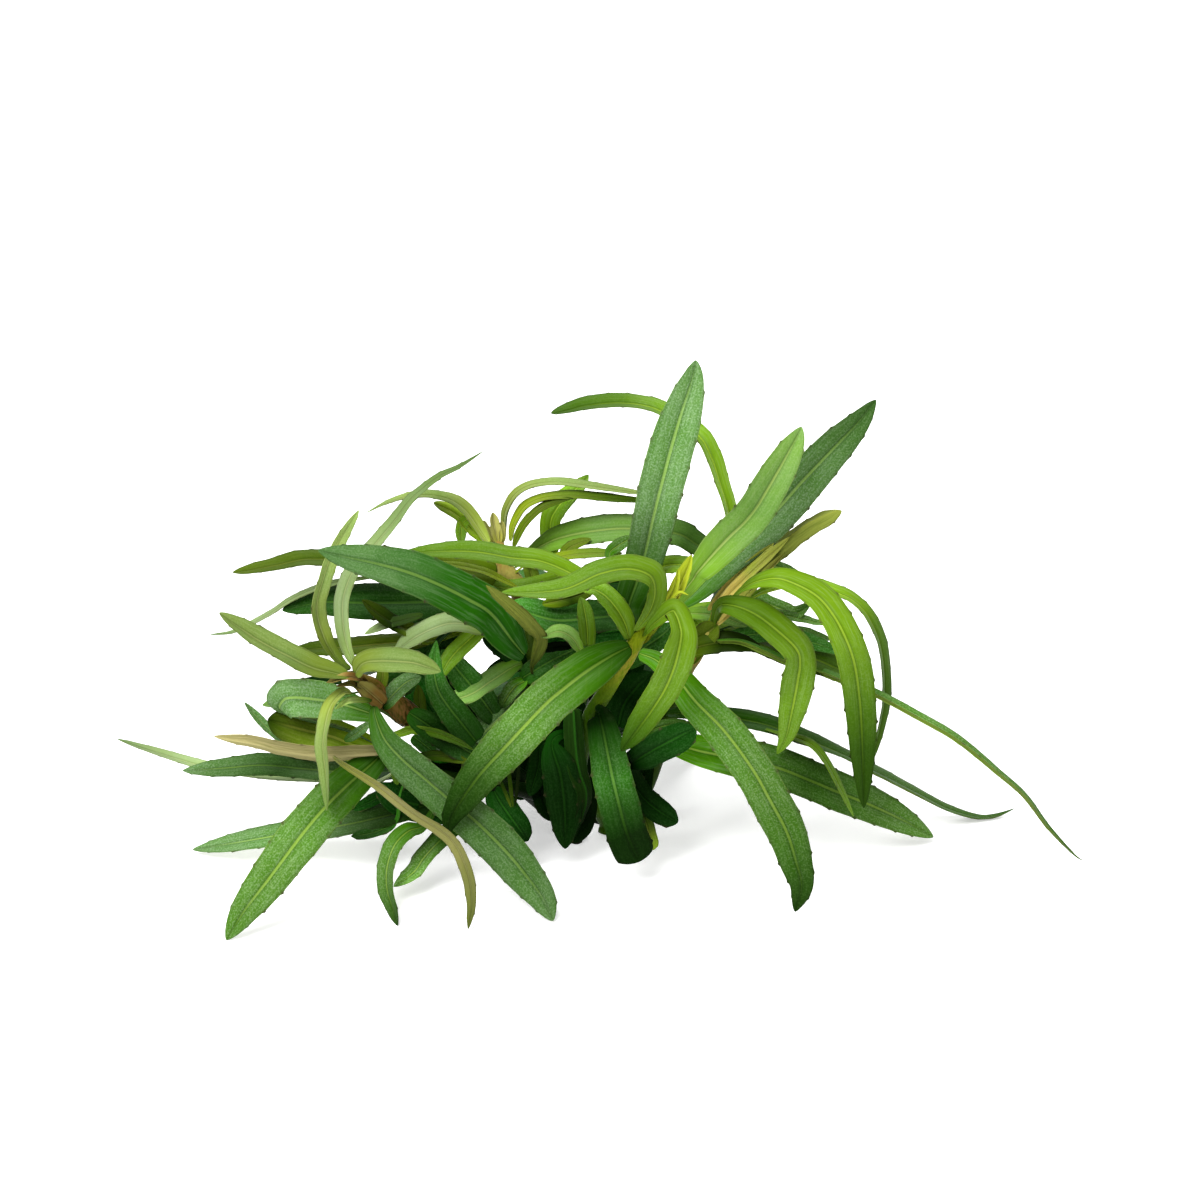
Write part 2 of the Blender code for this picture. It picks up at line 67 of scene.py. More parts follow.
CURVE_STEPS = 16
LENGTH_STEPS = 60
STATION_STEP = 0.42
LEAST_STATIONS = 24
MOST_STATIONS = 150
TIP_SHARES = (0.993, 0.997, 1.0)
BLADE_PLACES = np.array((0, 0.035, 0.08, 0.16, 0.28, 0.42, 0.58, 0.74, 0.88, 0.96, 1.0))
TOOTH_GAP = 4.0
TURN_WOBBLE = math.radians(3.0)
FOLD_WOBBLE = 0.12
WIDTH_WOBBLE = 0.03
TOOTH_WOBBLE = 0.15
SHORTEST_STALK = 0.001
STALK_TAPER = 0.45
RIDGE_SOFTNESS = 0.12
PILLOW_HEIGHT = 0.03
MARGIN_CURL = 0.1
MARGIN_RUFFLE = 0.05
GROOVE_DEPTH = 0.1
GROOVE_WIDTH = 0.07
BLADE_THICKNESS = 0.36
RIB_DEPTH = 0.34
RIB_WIDTH = 0.13
LOWEST = 0.02
STEM_SIDES = 24
STEM_STEP = 0.5
STEM_SQUARENESS = 0.035
CUT_HEIGHT = 2.5
KNUCKLE_LENGTH = 1.6
FLUSH_LENGTH = 3.0

LIGHT_SHARE = 0.44
SPECULAR_TINT = (0.8, 1.0, 0.5, 1.0)
WHITE = (1.0, 1.0, 1.0, 1.0)
# Painted shade, for the pits between the pebbles and the groove beside the midrib.
PIT_SHADE = (0.45, 0.5, 0.45, 1.0)
VEIN_SHADE = (0.5, 0.56, 0.4, 1.0)
STREAK_SHADE = (0.6, 0.58, 0.45, 1.0)
TOOTH_TIP = (0.03, 0.025, 0.012, 1.0)

Point = tuple[float, float, float]
Colour = tuple[int, int, int]
Profile = float | tuple[float, ...]
Faces = list[tuple[int, ...]]


def linear(colour: Colour) -> tuple[float, float, float, float]:
    """Turns a display colour into a linear one, in the lamps' own scale.

    Args:
        colour: red, green and blue from 0 to 255.

    Returns:
        Red, green and blue from 0 to LIGHT_SHARE, and full alpha.
    """
    shares = np.array(colour) / 255
    low, high = shares / 12.92, ((shares + 0.055) / 1.055) ** 2.4
    return (*(LIGHT_SHARE * np.where(shares <= 0.04045, low, high)).tolist(), 1.0)


def smoothstep(value: np.ndarray, low: float, high: float) -> np.ndarray:
    """Rises from 0 at low to 1 at high as 3x^2 - 2x^3."""
    share = np.clip((value - low) / (high - low), 0, 1)
    return share * share * (3 - 2 * share)


def spread_out(profile: Profile, share: np.ndarray) -> np.ndarray:
    """Reads one value, or straight lines between values at even steps, at shares of a length."""
    values = np.atleast_1d(profile)
    return np.interp(share, np.linspace(0, 1, len(values)), values)


def place(point: Point) -> np.ndarray:
    """Finds where a point that is read on the sheet lies, at its own depth.

    Args:
        point: across and rise on the sheet, and depth behind the sheet's centre.

    Returns:
        Its place in millimetres: the sight point plus the ray's own multiple.
    """
    across, rise, depth = point
    ray = FORWARD + (across * ACROSS + (rise - SHEET_BASE) * SHEET_UP) / SIGHT_DISTANCE
    return SIGHT_POINT + ray * ((depth + SHEET_CENTRE[1] - SIGHT_POINT[1]) / ray[1])


def smooth_route(points: np.ndarray, shares: np.ndarray) -> np.ndarray:
    """Draws a curve through points, as a Catmull-Rom spline.

    Args:
        points: the points that the curve goes through.
        shares: places along it, as shares of its length.

    Returns:
        The points at those places.
    """
    padded = np.vstack([2 * points[0] - points[1], points, 2 * points[-1] - points[-2]])
    before, start, end, after = (padded[first:len(padded) - 3 + first, None] for first in range(4))
    step = np.linspace(0, 1, CURVE_STEPS, endpoint=False)[None, :, None]
    dense = 0.5 * (2 * start + (end - before) * step
                   + (2 * before - 5 * start + 4 * end - after) * step**2
                   + (3 * start - before - 3 * end + after) * step**3)
    dense = np.vstack([dense.reshape(-1, 3), points[-1:]])
    travelled = np.concatenate([[0], np.cumsum(np.linalg.norm(np.diff(dense, axis=0), axis=1))])
    columns = [np.interp(shares * travelled[-1], travelled, column) for column in dense.T]
    return np.stack(columns, axis=1)


def curve_length(points: np.ndarray) -> float:
    """Adds up straight steps between even places on the smooth curve through points."""
    steps = np.diff(smooth_route(points, np.linspace(0, 1, LENGTH_STEPS)), axis=0)
    return float(np.linalg.norm(steps, axis=1).sum())


def unit(vectors: np.ndarray) -> np.ndarray:
    """Brings each vector to a length of 1."""
    return vectors / np.linalg.norm(vectors, axis=1)[:, None]


def wobble(share: np.ndarray, rng: np.random.Generator, waves: float) -> np.ndarray:
    """Adds three sine waves of falling height and random phase.

    Args:
        share: places along a length, as shares of it.
        rng: what the phases are drawn from.
        waves: how many waves the slowest one makes over the length.

    Returns:
        Their sum at each place, about -1 to 1.
    """
    phases = rng.uniform(0, 2 * math.pi, 3)
    counts = waves * np.array((1.0, 1.9, 3.3))
    heights = np.array((0.55, 0.3, 0.15))
    return (heights * np.sin(2 * math.pi * share[:, None] * counts + phases)).sum(axis=1)


def ring_faces(rings: int, sides: int) -> Faces:
    """Joins closed rings of points, each to the next.

    Args:
        rings: how many rings there are.
        sides: how many points a ring has.

    Returns:
        Quads that face outwards.
    """
    here = np.arange(sides)
    after = (here + 1) % sides
    start = (np.arange(rings - 1) * sides)[:, None]
    quads = np.stack([start + here, start + after, start + sides + after, start + sides + here], -1)
    return list(map(tuple, quads.reshape(-1, 4).tolist()))


def fan_faces(first: int, sides: int, centre: int) -> Faces:
    """Joins a ring of points to its centre.

    Args:
        first: the ring's first point.
        sides: how many points it has.
        centre: the point that closes it.

    Returns:
        Triangles in the ring's own order.
    """
    here = np.arange(sides)
    corners = np.stack([first + here, first + (here + 1) % sides, np.full(sides, centre)], 1)
    return list(map(tuple, corners.tolist()))


@dataclass
class Surface:
    """A closed surface in millimetres, with a value of each kind at each of its points."""

    points: np.ndarray
    faces: Faces
    values: dict[str, np.ndarray]

    def hand_over(self, name: str, material: bpy.types.Material, slot: str) -> None:
        """Makes a smooth piece at the origin, which rides on the clump and stands for its solid.

        Args:
            name: the piece's name, which gets "_shown" behind it where a solid has it.
            material: its material.
            slot: a slot name, which is only logged.
        """
        has_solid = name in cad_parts
        title = name + "_shown" if has_solid else name
        mesh = bpy.data.meshes.new(title)
        mesh.from_pydata((self.points * MM).tolist(), [], self.faces)
        for key, values in self.values.items():
            layer = mesh.attributes.new(key, "FLOAT", "POINT")
            layer.data.foreach_set("value", values.astype(np.float32))
        mesh.shade_smooth()
        mesh.materials.append(material)
        mesh.update()
        piece = bpy.data.objects.new(title, mesh)
        bpy.context.scene.collection.objects.link(piece)
        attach(piece, BODY)
        if has_solid:
            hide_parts(name)
        log.info("%s: %d faces, slot %s", piece.name, len(self.faces), slot)


def join_surfaces(parts: list[Surface]) -> Surface:
    """Puts surfaces together as one.

    Args:
        parts: the surfaces, all with the same kinds of values.

    Returns:
        One surface that holds them in their order.
    """
    starts = np.cumsum([0] + [len(part.points) for part in parts]).tolist()
    faces = [tuple(corner + start for corner in face)
             for part, start in zip(parts, starts) for face in part.faces]
    values = {key: np.concatenate([part.values[key] for part in parts]) for key in parts[0].values}
    return Surface(np.vstack([part.points for part in parts]), faces, values)


@dataclass(frozen=True)
class Signal:
    """A shader node's output, which adds, subtracts and multiplies as a number does."""

    socket: bpy.types.NodeSocket

    def math(self, operation: str, *values: object) -> "Signal":
        """Adds a Math node that works out one sum in this output's own tree."""
        return Wiring(self.socket.id_data).math(operation, *values)

    def __add__(self, other: object) -> "Signal":
        """Adds a number or another output."""
        return self.math("ADD", self, other)

    def __sub__(self, other: object) -> "Signal":
        """Takes away a number or another output."""
        return self.math("SUBTRACT", self, other)

    def __rsub__(self, other: float) -> "Signal":
        """Takes this output away from a number."""
        return self.math("SUBTRACT", other, self)

    def __mul__(self, other: object) -> "Signal":
        """Multiplies by a number or another output."""
        return self.math("MULTIPLY", self, other)

    def ramp(self, low: float, high: float, start: float = 0.0, end: float = 1.0) -> "Signal":
        """Goes smoothly from start, where this output is low, to end, where it is high."""
        node = Wiring(self.socket.id_data).add("ShaderNodeMapRange", interpolation_type="SMOOTHSTEP")
        return feed(node.inputs, (self, low, high, start, end), node.outputs[0])


def feed(sockets: Iterable[bpy.types.NodeSocket], values: Iterable[object],
         output: bpy.types.NodeSocket) -> Signal:
    """Joins or sets a node's inputs.

    Args:
        sockets: the inputs.
        values: an output, a number or a colour for each of them.
        output: the node's own output.

    Returns:
        The node's output as a signal.
    """
    for socket, value in zip(sockets, values):
        if isinstance(value, Signal):
            socket.id_data.links.new(value.socket, socket)
        else:
            socket.default_value = value
    return Signal(output)


@dataclass(frozen=True)
class Wiring:
    """Short ways to add and join shader nodes in one tree."""

    tree: bpy.types.NodeTree

    def add(self, kind: str, **settings: object) -> bpy.types.Node:
        """Adds a node.

        Args:
            kind: its type.
            settings: its own settings, by name.

        Returns:
            The node.
        """
        node = self.tree.nodes.new(kind)
        for key, value in settings.items():
            setattr(node, key, value)
        return node

    def math(self, operation: str, *values: object) -> Signal:
        """Works out one sum of outputs or numbers."""
        node = self.add("ShaderNodeMath", operation=operation)
        return feed(node.inputs, values, node.outputs[0])

    def mix(self, share: object, first: object, second: object, blend: str = "MIX") -> Signal:
        """Mixes two colours."""
        node = self.add("ShaderNodeMix", data_type="RGBA", blend_type=blend)
        return feed((node.inputs[0], *node.inputs[6:8]), (share, first, second), node.outputs[2])

    def scale(self, colour: Signal, factor: Signal) -> Signal:
        """Makes a colour lighter or darker by a factor."""
        node = self.add("ShaderNodeVectorMath", operation="SCALE")
        return feed((node.inputs[0], node.inputs["Scale"]), (colour, factor), node.outputs[0])

    def vector(self, *parts: Signal) -> Signal:
        """Makes a vector or colour out of three outputs."""
        node = self.add("ShaderNodeCombineXYZ")
        return feed(node.inputs, parts, node.outputs[0])

    def noise(self, vector: Signal, scale: float, detail: float = 2.0) -> Signal:
        """Reads soft noise.

        Args:
            vector: where it is read.
            scale: how fine it is.
            detail: how many finer layers it has.

        Returns:
            Its height, about 0 to 1.
        """
        node = self.add("ShaderNodeTexNoise")
        sockets = [node.inputs[title] for title in ("Vector", "Scale", "Detail")]
        return feed(sockets, (vector, scale, detail), node.outputs["Fac"])

    def position(self) -> Signal:
        """Reads the place on the object."""
        return Signal(self.add("ShaderNodeTexCoord").outputs["Object"])

    def given(self) -> dict[str, Signal]:
        """Finds a group's inputs by name."""
        return {socket.name: Signal(socket) for socket in self.tree.nodes["Group Input"].outputs}

    def give(self, *values: Signal) -> None:
        """Joins a group's colour, roughness and height to its outputs."""
        for socket, value in zip(self.tree.nodes["Group Output"].inputs, values):
            self.tree.links.new(value.socket, socket)


def new_group(name: str, numbers: tuple[str, ...], colours: tuple[str, ...]) -> bpy.types.NodeTree:
    """Makes an empty pattern group, which gives a colour, a roughness and a height.

    Args:
        name: the group's name.
        numbers: the names of its number inputs.
        colours: the names of its colour inputs.

    Returns:
        The group, with a Group Input and a Group Output node.
    """
    group = bpy.data.node_groups.new(name, "ShaderNodeTree")
    sockets = [(title, "INPUT", "Float") for title in numbers]
    sockets += [(title, "INPUT", "Color") for title in colours]
    sockets += [("Color", "OUTPUT", "Color"), ("Roughness", "OUTPUT", "Float"), ("Height", "OUTPUT", "Float")]
    for title, direction, kind in sockets:
        group.interface.new_socket(title, in_out=direction, socket_type="NodeSocket" + kind)
    group.nodes.new("NodeGroupInput")
    group.nodes.new("NodeGroupOutput")
    return group


def leaf_skin() -> bpy.types.NodeTree:
    """Makes the pattern of a leaf's two faces, or finds it.

    The upper face has a fresh, smooth part up to Fresh Reach, whose colour also stands in for
    painted light shining through, and a pebbled part beyond, with painted highlights on its crests
    and in streaks and painted shade in its pits; a pale midrib with painted shade in the groove
    beside it; faint side veins and a thin pale margin. The underside has lengthwise veins. Both
    faces are scaled by the leaf's brightness profile, which is largely painted light and shade,
    and by a painted fold shade.

    Returns:
        The node group.
    """
    if "leaf_skin" in bpy.data.node_groups:
        return bpy.data.node_groups["leaf_skin"]
    wiring = Wiring(new_group(
        "leaf_skin",
        ("Across", "Along", "Run", "Under", "Tooth", "Tone", "Fresh Reach", "Grain", "Vein", "Shine"),
        ("Upper", "Fresh", "Sheen", "Underside", "Rib")))
    given = wiring.given()
    position = wiring.position()
    side = wiring.math("ABSOLUTE", given["Across"])
    cells = wiring.noise(position, 3600)
    blotches = wiring.noise(position, 170)
    streaks = wiring.noise(wiring.vector(given["Across"] * 7.0, given["Run"] * 0.09, blotches), 1.6, 3)
    smooth_part = (given["Along"] - (given["Fresh Reach"] + blotches * 0.12)).ramp(-0.16, 0.14, 1, 0)
    pebbled = (1.0 - smooth_part) * given["Grain"]

    # The fresh part is the base's own yellow-green, and its colour also stands in for painted light shining
    # through the blade.
    face = wiring.mix(blotches.ramp(0.35, 0.7, 0.0, 0.35), given["Upper"], given["Fresh"])
    face = wiring.mix(smooth_part, face, given["Fresh"])
    # Painted highlights on the pebbles' crests.
    face = wiring.mix(cells.ramp(0.47, 0.66) * (pebbled * 0.3), face, given["Sheen"])
    # Painted shade in the pits between the pebbles.
    painted_shade_face = wiring.mix(1.0, face, PIT_SHADE, "MULTIPLY")
    face = wiring.mix(cells.ramp(0.5, 0.33) * (pebbled * 0.34), face, painted_shade_face)
    # Painted highlight streaks.
    face = wiring.mix(streaks.ramp(0.45, 0.68) * given["Shine"], face, given["Sheen"])
    slanting = wiring.math("SINE", given["Run"] * 2.4 - side * 7.0)
    chevrons = slanting.ramp(0.72, 1.0) * side.ramp(0.95, 0.5)
    face = wiring.mix(chevrons * (given["Vein"] * 0.08), face, given["Rib"])
    # Painted shade in the groove beside the midrib.
    painted_groove_shade = side.ramp(0.2, 0.08) * side.ramp(0.04, 0.09)
    face = wiring.mix(painted_groove_shade * 0.4, face, painted_shade_face)
    rib_line = side.ramp(0.09, 0.035) * given["Along"].ramp(1.0, 0.7)
    face = wiring.mix(rib_line * 0.65, face, given["Rib"])

    veined = wiring.mix(1.0, given["Underside"], VEIN_SHADE, "MULTIPLY")
    under = wiring.mix(streaks.ramp(0.35, 0.7, 0.0, 0.75), given["Underside"], veined)
    under = wiring.mix(side.ramp(0.17, 0.07, 0.0, 0.6), under, given["Rib"])
    skin = wiring.mix(given["Under"], face, under)
    skin = wiring.mix(side.ramp(0.93, 0.99) * 0.3, skin, given["Rib"])
    skin = wiring.mix(side.ramp(0.8, 0.95) * given["Tooth"], skin, TOOTH_TIP)

    # Painted fold shade: the colour is darker over the midrib and towards the margins, and one half is
    # lighter than the other, as light falls on a folded blade.
    relief_and_painted_fold_shade = side.ramp(0.3, 0.04, 1.05, 0.9) + side.ramp(0.68, 1.0, 0.0, -0.2) + given["Across"] * 0.08
    # The leaf's brightness profile scales the colour: it is partly the leaf's own colour and largely painted
    # light and shade, and where it is under 1 the painted shade is also made a deeper green.
    dark = wiring.math("MINIMUM", given["Tone"], 1.0)
    tint = wiring.vector(*(wiring.math("POWER", dark, power) for power in (0.3, 0.0, 0.6)))
    skin = wiring.mix(1.0, wiring.scale(wiring.scale(skin, given["Tone"]), relief_and_painted_fold_shade), tint, "MULTIPLY")
    roughness = pebbled * 0.14 + 0.36 + given["Under"] * 0.12 + cells * 0.1
    bumps = cells * (pebbled + 0.12) + streaks * 0.5 - chevrons * (given["Vein"] * 0.5)
    wiring.give(skin, roughness, bumps)
    return wiring.tree


def stem_skin() -> bpy.types.NodeTree:
    """Makes the pattern of a stem, or finds it: lengthwise streaks, and a flush at its nodes.

    Returns:
        The node group.
    """
    if "stem_skin" in bpy.data.node_groups:
        return bpy.data.node_groups["stem_skin"]
    wiring = Wiring(new_group("stem_skin", ("Along", "Knuckle"), ("Low", "Top", "Flush")))
    given = wiring.given()
    position = wiring.position()
    stretch = wiring.add("ShaderNodeMapping")
    sockets = (stretch.inputs["Vector"], stretch.inputs["Scale"])
    streaks = wiring.noise(feed(sockets, (position, (1.0, 1.0, 0.22)), stretch.outputs[0]), 2300, 3)
    rising = (given["Along"] + wiring.noise(position, 300) * 0.2).ramp(0.74, 1.06)
    colour = wiring.mix(rising, given["Low"], given["Top"])
    colour = wiring.mix(streaks.ramp(0.38, 0.62) * given["Knuckle"], colour, given["Flush"])
    shaded = wiring.mix(1.0, colour, STREAK_SHADE, "MULTIPLY")
    colour = wiring.mix(streaks.ramp(0.5, 0.3, 0.0, 0.5), colour, shaded)
    wiring.give(colour, streaks.ramp(0.3, 0.7, 0.32, 0.5), streaks)
    return wiring.tree


def dress(name: str, group: bpy.types.NodeTree, attributes: tuple[str, ...], values: dict[str, object],
          bump: float, specular: float) -> bpy.types.Material:
    """Makes a material whose colour, roughness and bump come from a pattern group, or finds it.

    Args:
        name: the material's name.
        group: the pattern.
        attributes: the group's inputs that a mesh attribute feeds, each named as it in small letters.
        values: the group's other inputs, with colours as shown on a display.
        bump: the height of the bump in millimetres.
        specular: the shader's specular level.

    Returns:
        The material.
    """
    if name in bpy.data.materials:
        return bpy.data.materials[name]
    material = bpy.data.materials.new(name)
    material.use_nodes = True
    wiring = Wiring(material.node_tree)
    shader = material.node_tree.nodes["Principled BSDF"]
    pattern = wiring.add("ShaderNodeGroup", node_tree=group)
    for title in attributes:
        reader = wiring.add("ShaderNodeAttribute", attribute_name=title.lower())
        wiring.tree.links.new(reader.outputs["Fac"], pattern.inputs[title])
    for title, value in values.items():
        pattern.inputs[title].default_value = linear(value) if isinstance(value, tuple) else value
    relief_and_painted_fold_shade = wiring.add("ShaderNodeBump")
    relief_and_painted_fold_shade.inputs["Distance"].default_value = bump * MM
    wiring.tree.links.new(pattern.outputs["Height"], relief_and_painted_fold_shade.inputs["Height"])
    wiring.tree.links.new(pattern.outputs["Color"], shader.inputs["Base Color"])
    wiring.tree.links.new(pattern.outputs["Roughness"], shader.inputs["Roughness"])
    wiring.tree.links.new(relief_and_painted_fold_shade.outputs["Normal"], shader.inputs["Normal"])
    shader.inputs["Specular IOR Level"].default_value = specular
    shader.inputs["Specular Tint"].default_value = SPECULAR_TINT
    return material


@dataclass(frozen=True)
class LeafFinish:
    """How a leaf looks: its colours as shown on a display, and how strong its patterns are."""

    upper: Colour
    # The base's own yellow-green, which also stands in for painted light shining through the blade.
    fresh: Colour
    # The colour of painted highlights on the pebbles and in streaks.
    sheen: Colour
    underside: Colour
    rib: Colour
    reach: float = 0.22
    grain: float = 0.8
    vein: float = 0.5
    # How strong the painted highlight streaks are.
    shine: float = 0.15
    specular: float = 0.04
    slot: str = "leaf"
    bump: float = 0.05

    def material(self, name: str) -> bpy.types.Material:
        """Makes the material of this finish, or finds it."""
        values = {"Upper": self.upper, "Fresh": self.fresh, "Sheen": self.sheen, "Rib": self.rib,
                  "Underside": self.underside, "Fresh Reach": self.reach, "Grain": self.grain,
                  "Vein": self.vein, "Shine": self.shine}
        attributes = ("Across", "Along", "Run", "Under", "Tooth", "Tone")
        return dress(name, leaf_skin(), attributes, values, self.bump, self.specular)


class Look(Enum):
    """The named finishes of leaves."""

    BLUE = LeafFinish((92, 132, 68), (66, 122, 12), (170, 196, 158), (136, 160, 78), (152, 188, 92),
                      0.1, 0.9)
    DEEP = LeafFinish((42, 92, 20), (38, 102, 4), (112, 150, 98), (76, 104, 32), (100, 148, 56),
                      0.05, 0.8)
    MID = LeafFinish((80, 124, 40), (68, 126, 4), (166, 194, 142), (120, 144, 50), (156, 190, 76),
                     0.25, 0.9)
    BRIGHT = LeafFinish((102, 144, 28), (108, 147, 20), (172, 200, 130), (126, 150, 40), (168, 200, 60),
                        0.4, 0.4)
    PALE = LeafFinish((130, 176, 84), (128, 178, 50), (194, 216, 156), (152, 178, 104), (190, 212, 116),
                      0.2, 0.5, slot="pale_leaf")
    SILVER = LeafFinish((158, 184, 122), (148, 178, 84), (204, 218, 176), (164, 182, 120),
                        (194, 208, 138),
                        0.1, 0.3, slot="pale_leaf")
    YOUNG = LeafFinish((138, 168, 48), (150, 174, 26), (196, 206, 116), (152, 164, 70), (190, 200, 88),
                       0.3, 0.3, slot="pale_leaf")
    OLIVE = LeafFinish((98, 122, 24), (104, 134, 12), (162, 172, 92), (128, 138, 56), (152, 160, 66),
                       0.3, 0.3, slot="pale_leaf")
    TAN = LeafFinish((160, 156, 90), (150, 158, 60), (196, 188, 140), (176, 166, 112), (196, 186, 128),
                     0.1, 0.3, slot="pale_leaf")
    SOFT = LeafFinish((138, 166, 86), (144, 162, 62), (200, 214, 150), (154, 172, 96), (188, 200, 120),
                      0.3, 0.4, slot="pale_leaf")
    BROAD = LeafFinish((92, 134, 70), (34, 96, 4), (150, 182, 134), (136, 160, 78), (130, 170, 74),
                       0.6, 0.7, 0.1)
    # Deep green darkened with painted shade, for leaves that lie in shade at the heart and foot of the clump.
    DARK = LeafFinish((12, 50, 6), (12, 60, 4), (60, 100, 50), (24, 50, 10), (36, 86, 20),
                      0.1, 0.6, specular=0.02)
    SMOOTH = LeafFinish((34, 92, 12), (36, 110, 4), (96, 140, 78), (80, 110, 34), (88, 148, 48), 0.6, 0.3)


@dataclass(frozen=True)
class StemFinish:
    """How a stem looks: its colours at its foot, at its top and at its nodes."""

    low: Colour
    top: Colour
    flush: Colour
    specular: float = 0.04
    bump: float = 0.1

    def material(self, name: str) -> bpy.types.Material:
        """Makes the material of this finish, or finds it."""
        values = {"Low": self.low, "Top": self.top, "Flush": self.flush}
        return dress(name, stem_skin(), ("Along", "Knuckle"), values, self.bump, self.specular)


class Bark(Enum):
    """The named finishes of stems."""

    OLIVE = StemFinish((62, 100, 6), (150, 174, 22), (184, 170, 60))
    YELLOW = StemFinish((50, 80, 10), (204, 194, 96), (180, 140, 70))
    RED = StemFinish((10, 28, 4), (130, 112, 38), (164, 118, 66))
    SHADED = StemFinish((10, 30, 3), (34, 58, 6), (30, 46, 8))


@dataclass
class Leaf:
    """A lance-shaped blade with a toothed margin, folded up along its midrib.

    At a share t of its length, its half width is half its width times
    (1 - (1 - base)(1 - t / widest)^3)(1 - ((t - widest) / (1 - widest))^blunt)^0.7, plus its teeth.
    Across it, from -1 to 1, its height is the fold's rounded V, plus a pillow on each half, minus
    the groove over the midrib and the margin's curl.
    """

    name: str
    route: tuple[Point, ...]
    width: float
    turns: Profile
    look: Look
    fold: float = 12
    base: float = 0.35
    widest: float = 0.42
    blunt: float = 2.8
    teeth: float = 0.3
    bent_back: bool = False
    # Brightness along the leaf: partly its own colour and largely painted light and shade.
    tone: Profile = 1.0
    stalk: tuple[Point, ...] = ()
    rng: np.random.Generator = field(init=False, repr=False)

    def __post_init__(self) -> None:
        """Seeds the leaf's own irregularities from its name."""
        self.rng = np.random.default_rng(zlib.crc32(self.name.encode()))

    def frames(self, route: np.ndarray, share: np.ndarray,
               blade: np.ndarray) -> tuple[np.ndarray, np.ndarray]:
        """Finds the directions across the blade and out of its upper face.

        Args:
            route: places along the stalk and the midrib.
            share: their shares of the whole length.
            blade: their shares of the blade's length, 0 on the stalk.

        Returns:
            Both directions at each place. The face is turned about the midrib, away from the
            line of sight, by the leaf's turns in degrees. A leaf that is bent back carries the
            face of its base round the bend.
        """
        along = unit(np.gradient(route, share, axis=0))
        facing = np.tile(-FORWARD, (len(route), 1))
        if self.bent_back:
            for here in range(1, len(route)):
                facing[here] = facing[here - 1] - along[here] * (along[here] @ facing[here - 1])
                facing[here] /= np.linalg.norm(facing[here])
        facing = unit(facing - along * np.sum(along * facing, axis=1)[:, None])
        across = np.cross(along, facing)
        angle = np.radians(spread_out(self.turns, blade)) + TURN_WOBBLE * wobble(blade, self.rng, 1.3)
        turned = facing * np.cos(angle)[:, None] + across * np.sin(angle)[:, None]
        return np.cross(along, turned), turned

    def outline(self, share: np.ndarray, run: np.ndarray) -> tuple[np.ndarray, np.ndarray]:
        """Works out the half width on both sides, and how far each place is up a tooth.

        Args:
            share: places along the blade, as shares of its length.
            run: their distances from its base in millimetres.

        Returns:
            The half widths in millimetres and the places up a tooth from 0 to 1, left and right.
        """
        rising = 1 - (1 - self.base) * (1 - np.minimum(share / self.widest, 1)) ** 3
        falling = 1 - np.maximum((share - self.widest) / (1 - self.widest), 0) ** self.blunt
        plain = 0.5 * self.width * rising * np.maximum(falling, 0) ** 0.7
        sides, teeth = [], []
        for _ in range(2):
            uneven = 1 + WIDTH_WOBBLE * wobble(share, self.rng, 2.2)
            gap = TOOTH_GAP * self.rng.uniform(0.85, 1.15)
            start = self.rng.uniform()
            up_tooth = ((run / gap + start + TOOTH_WOBBLE * wobble(share, self.rng, 3)) % 1) ** 9
            up_tooth *= smoothstep(share, 0.12, 0.3) * smoothstep(share, 0.985, 0.93)
            sides.append(plain * uneven + self.teeth * up_tooth * min(1, self.width / 5))
            teeth.append(up_tooth)
        return np.stack(sides, 1), np.stack(teeth, 1)

    def section(self, share: np.ndarray, places: np.ndarray, half: np.ndarray,
                under: np.ndarray) -> tuple[np.ndarray, np.ndarray]:
        """Works out the blade's cross section at each place along it.

        Args:
            share: places along the blade, as shares of its length.
            places: places round the section, from -1 at the left margin to 1 at the right one.
            half: the half width at each of both.
            under: 1 for the places on the underside, 0 for the others.

        Returns:
            How far each point lies across the blade, and out of its face, in millimetres.
        """
        side = np.abs(places)
        fold = np.radians(self.fold) * (1 + FOLD_WOBBLE * wobble(share, self.rng, 1.7)[:, None])
        ease = np.sqrt(side**2 + RIDGE_SOFTNESS**2) - RIDGE_SOFTNESS
        pillow = PILLOW_HEIGHT * np.sin(math.pi * np.minimum(side * 1.15, 1)) ** 2
        lift = half * (np.sin(fold) * (ease - 0.5) + pillow - MARGIN_CURL * side**5)
        groove = GROOVE_DEPTH * np.minimum(half / 2, 1) * np.exp(-((side / GROOVE_WIDTH) ** 2))
        left, right = (wobble(share, self.rng, 4)[:, None] for _ in range(2))
        ruffles = MARGIN_RUFFLE * np.minimum(half / 2.5, 1) * side**2 * np.where(places < 0, left, right)
        slim = np.minimum(half / 1.2, 1) * (1 - 0.35 * share[:, None])
        body = BLADE_THICKNESS * slim * np.sqrt(np.maximum(1 - side**4, 0))
        rib = RIB_DEPTH * slim * (1 - 0.6 * share[:, None]) * np.exp(-((side / RIB_WIDTH) ** 2))
        return half * places * np.cos(fold), lift - groove + ruffles - under * (body + rib)

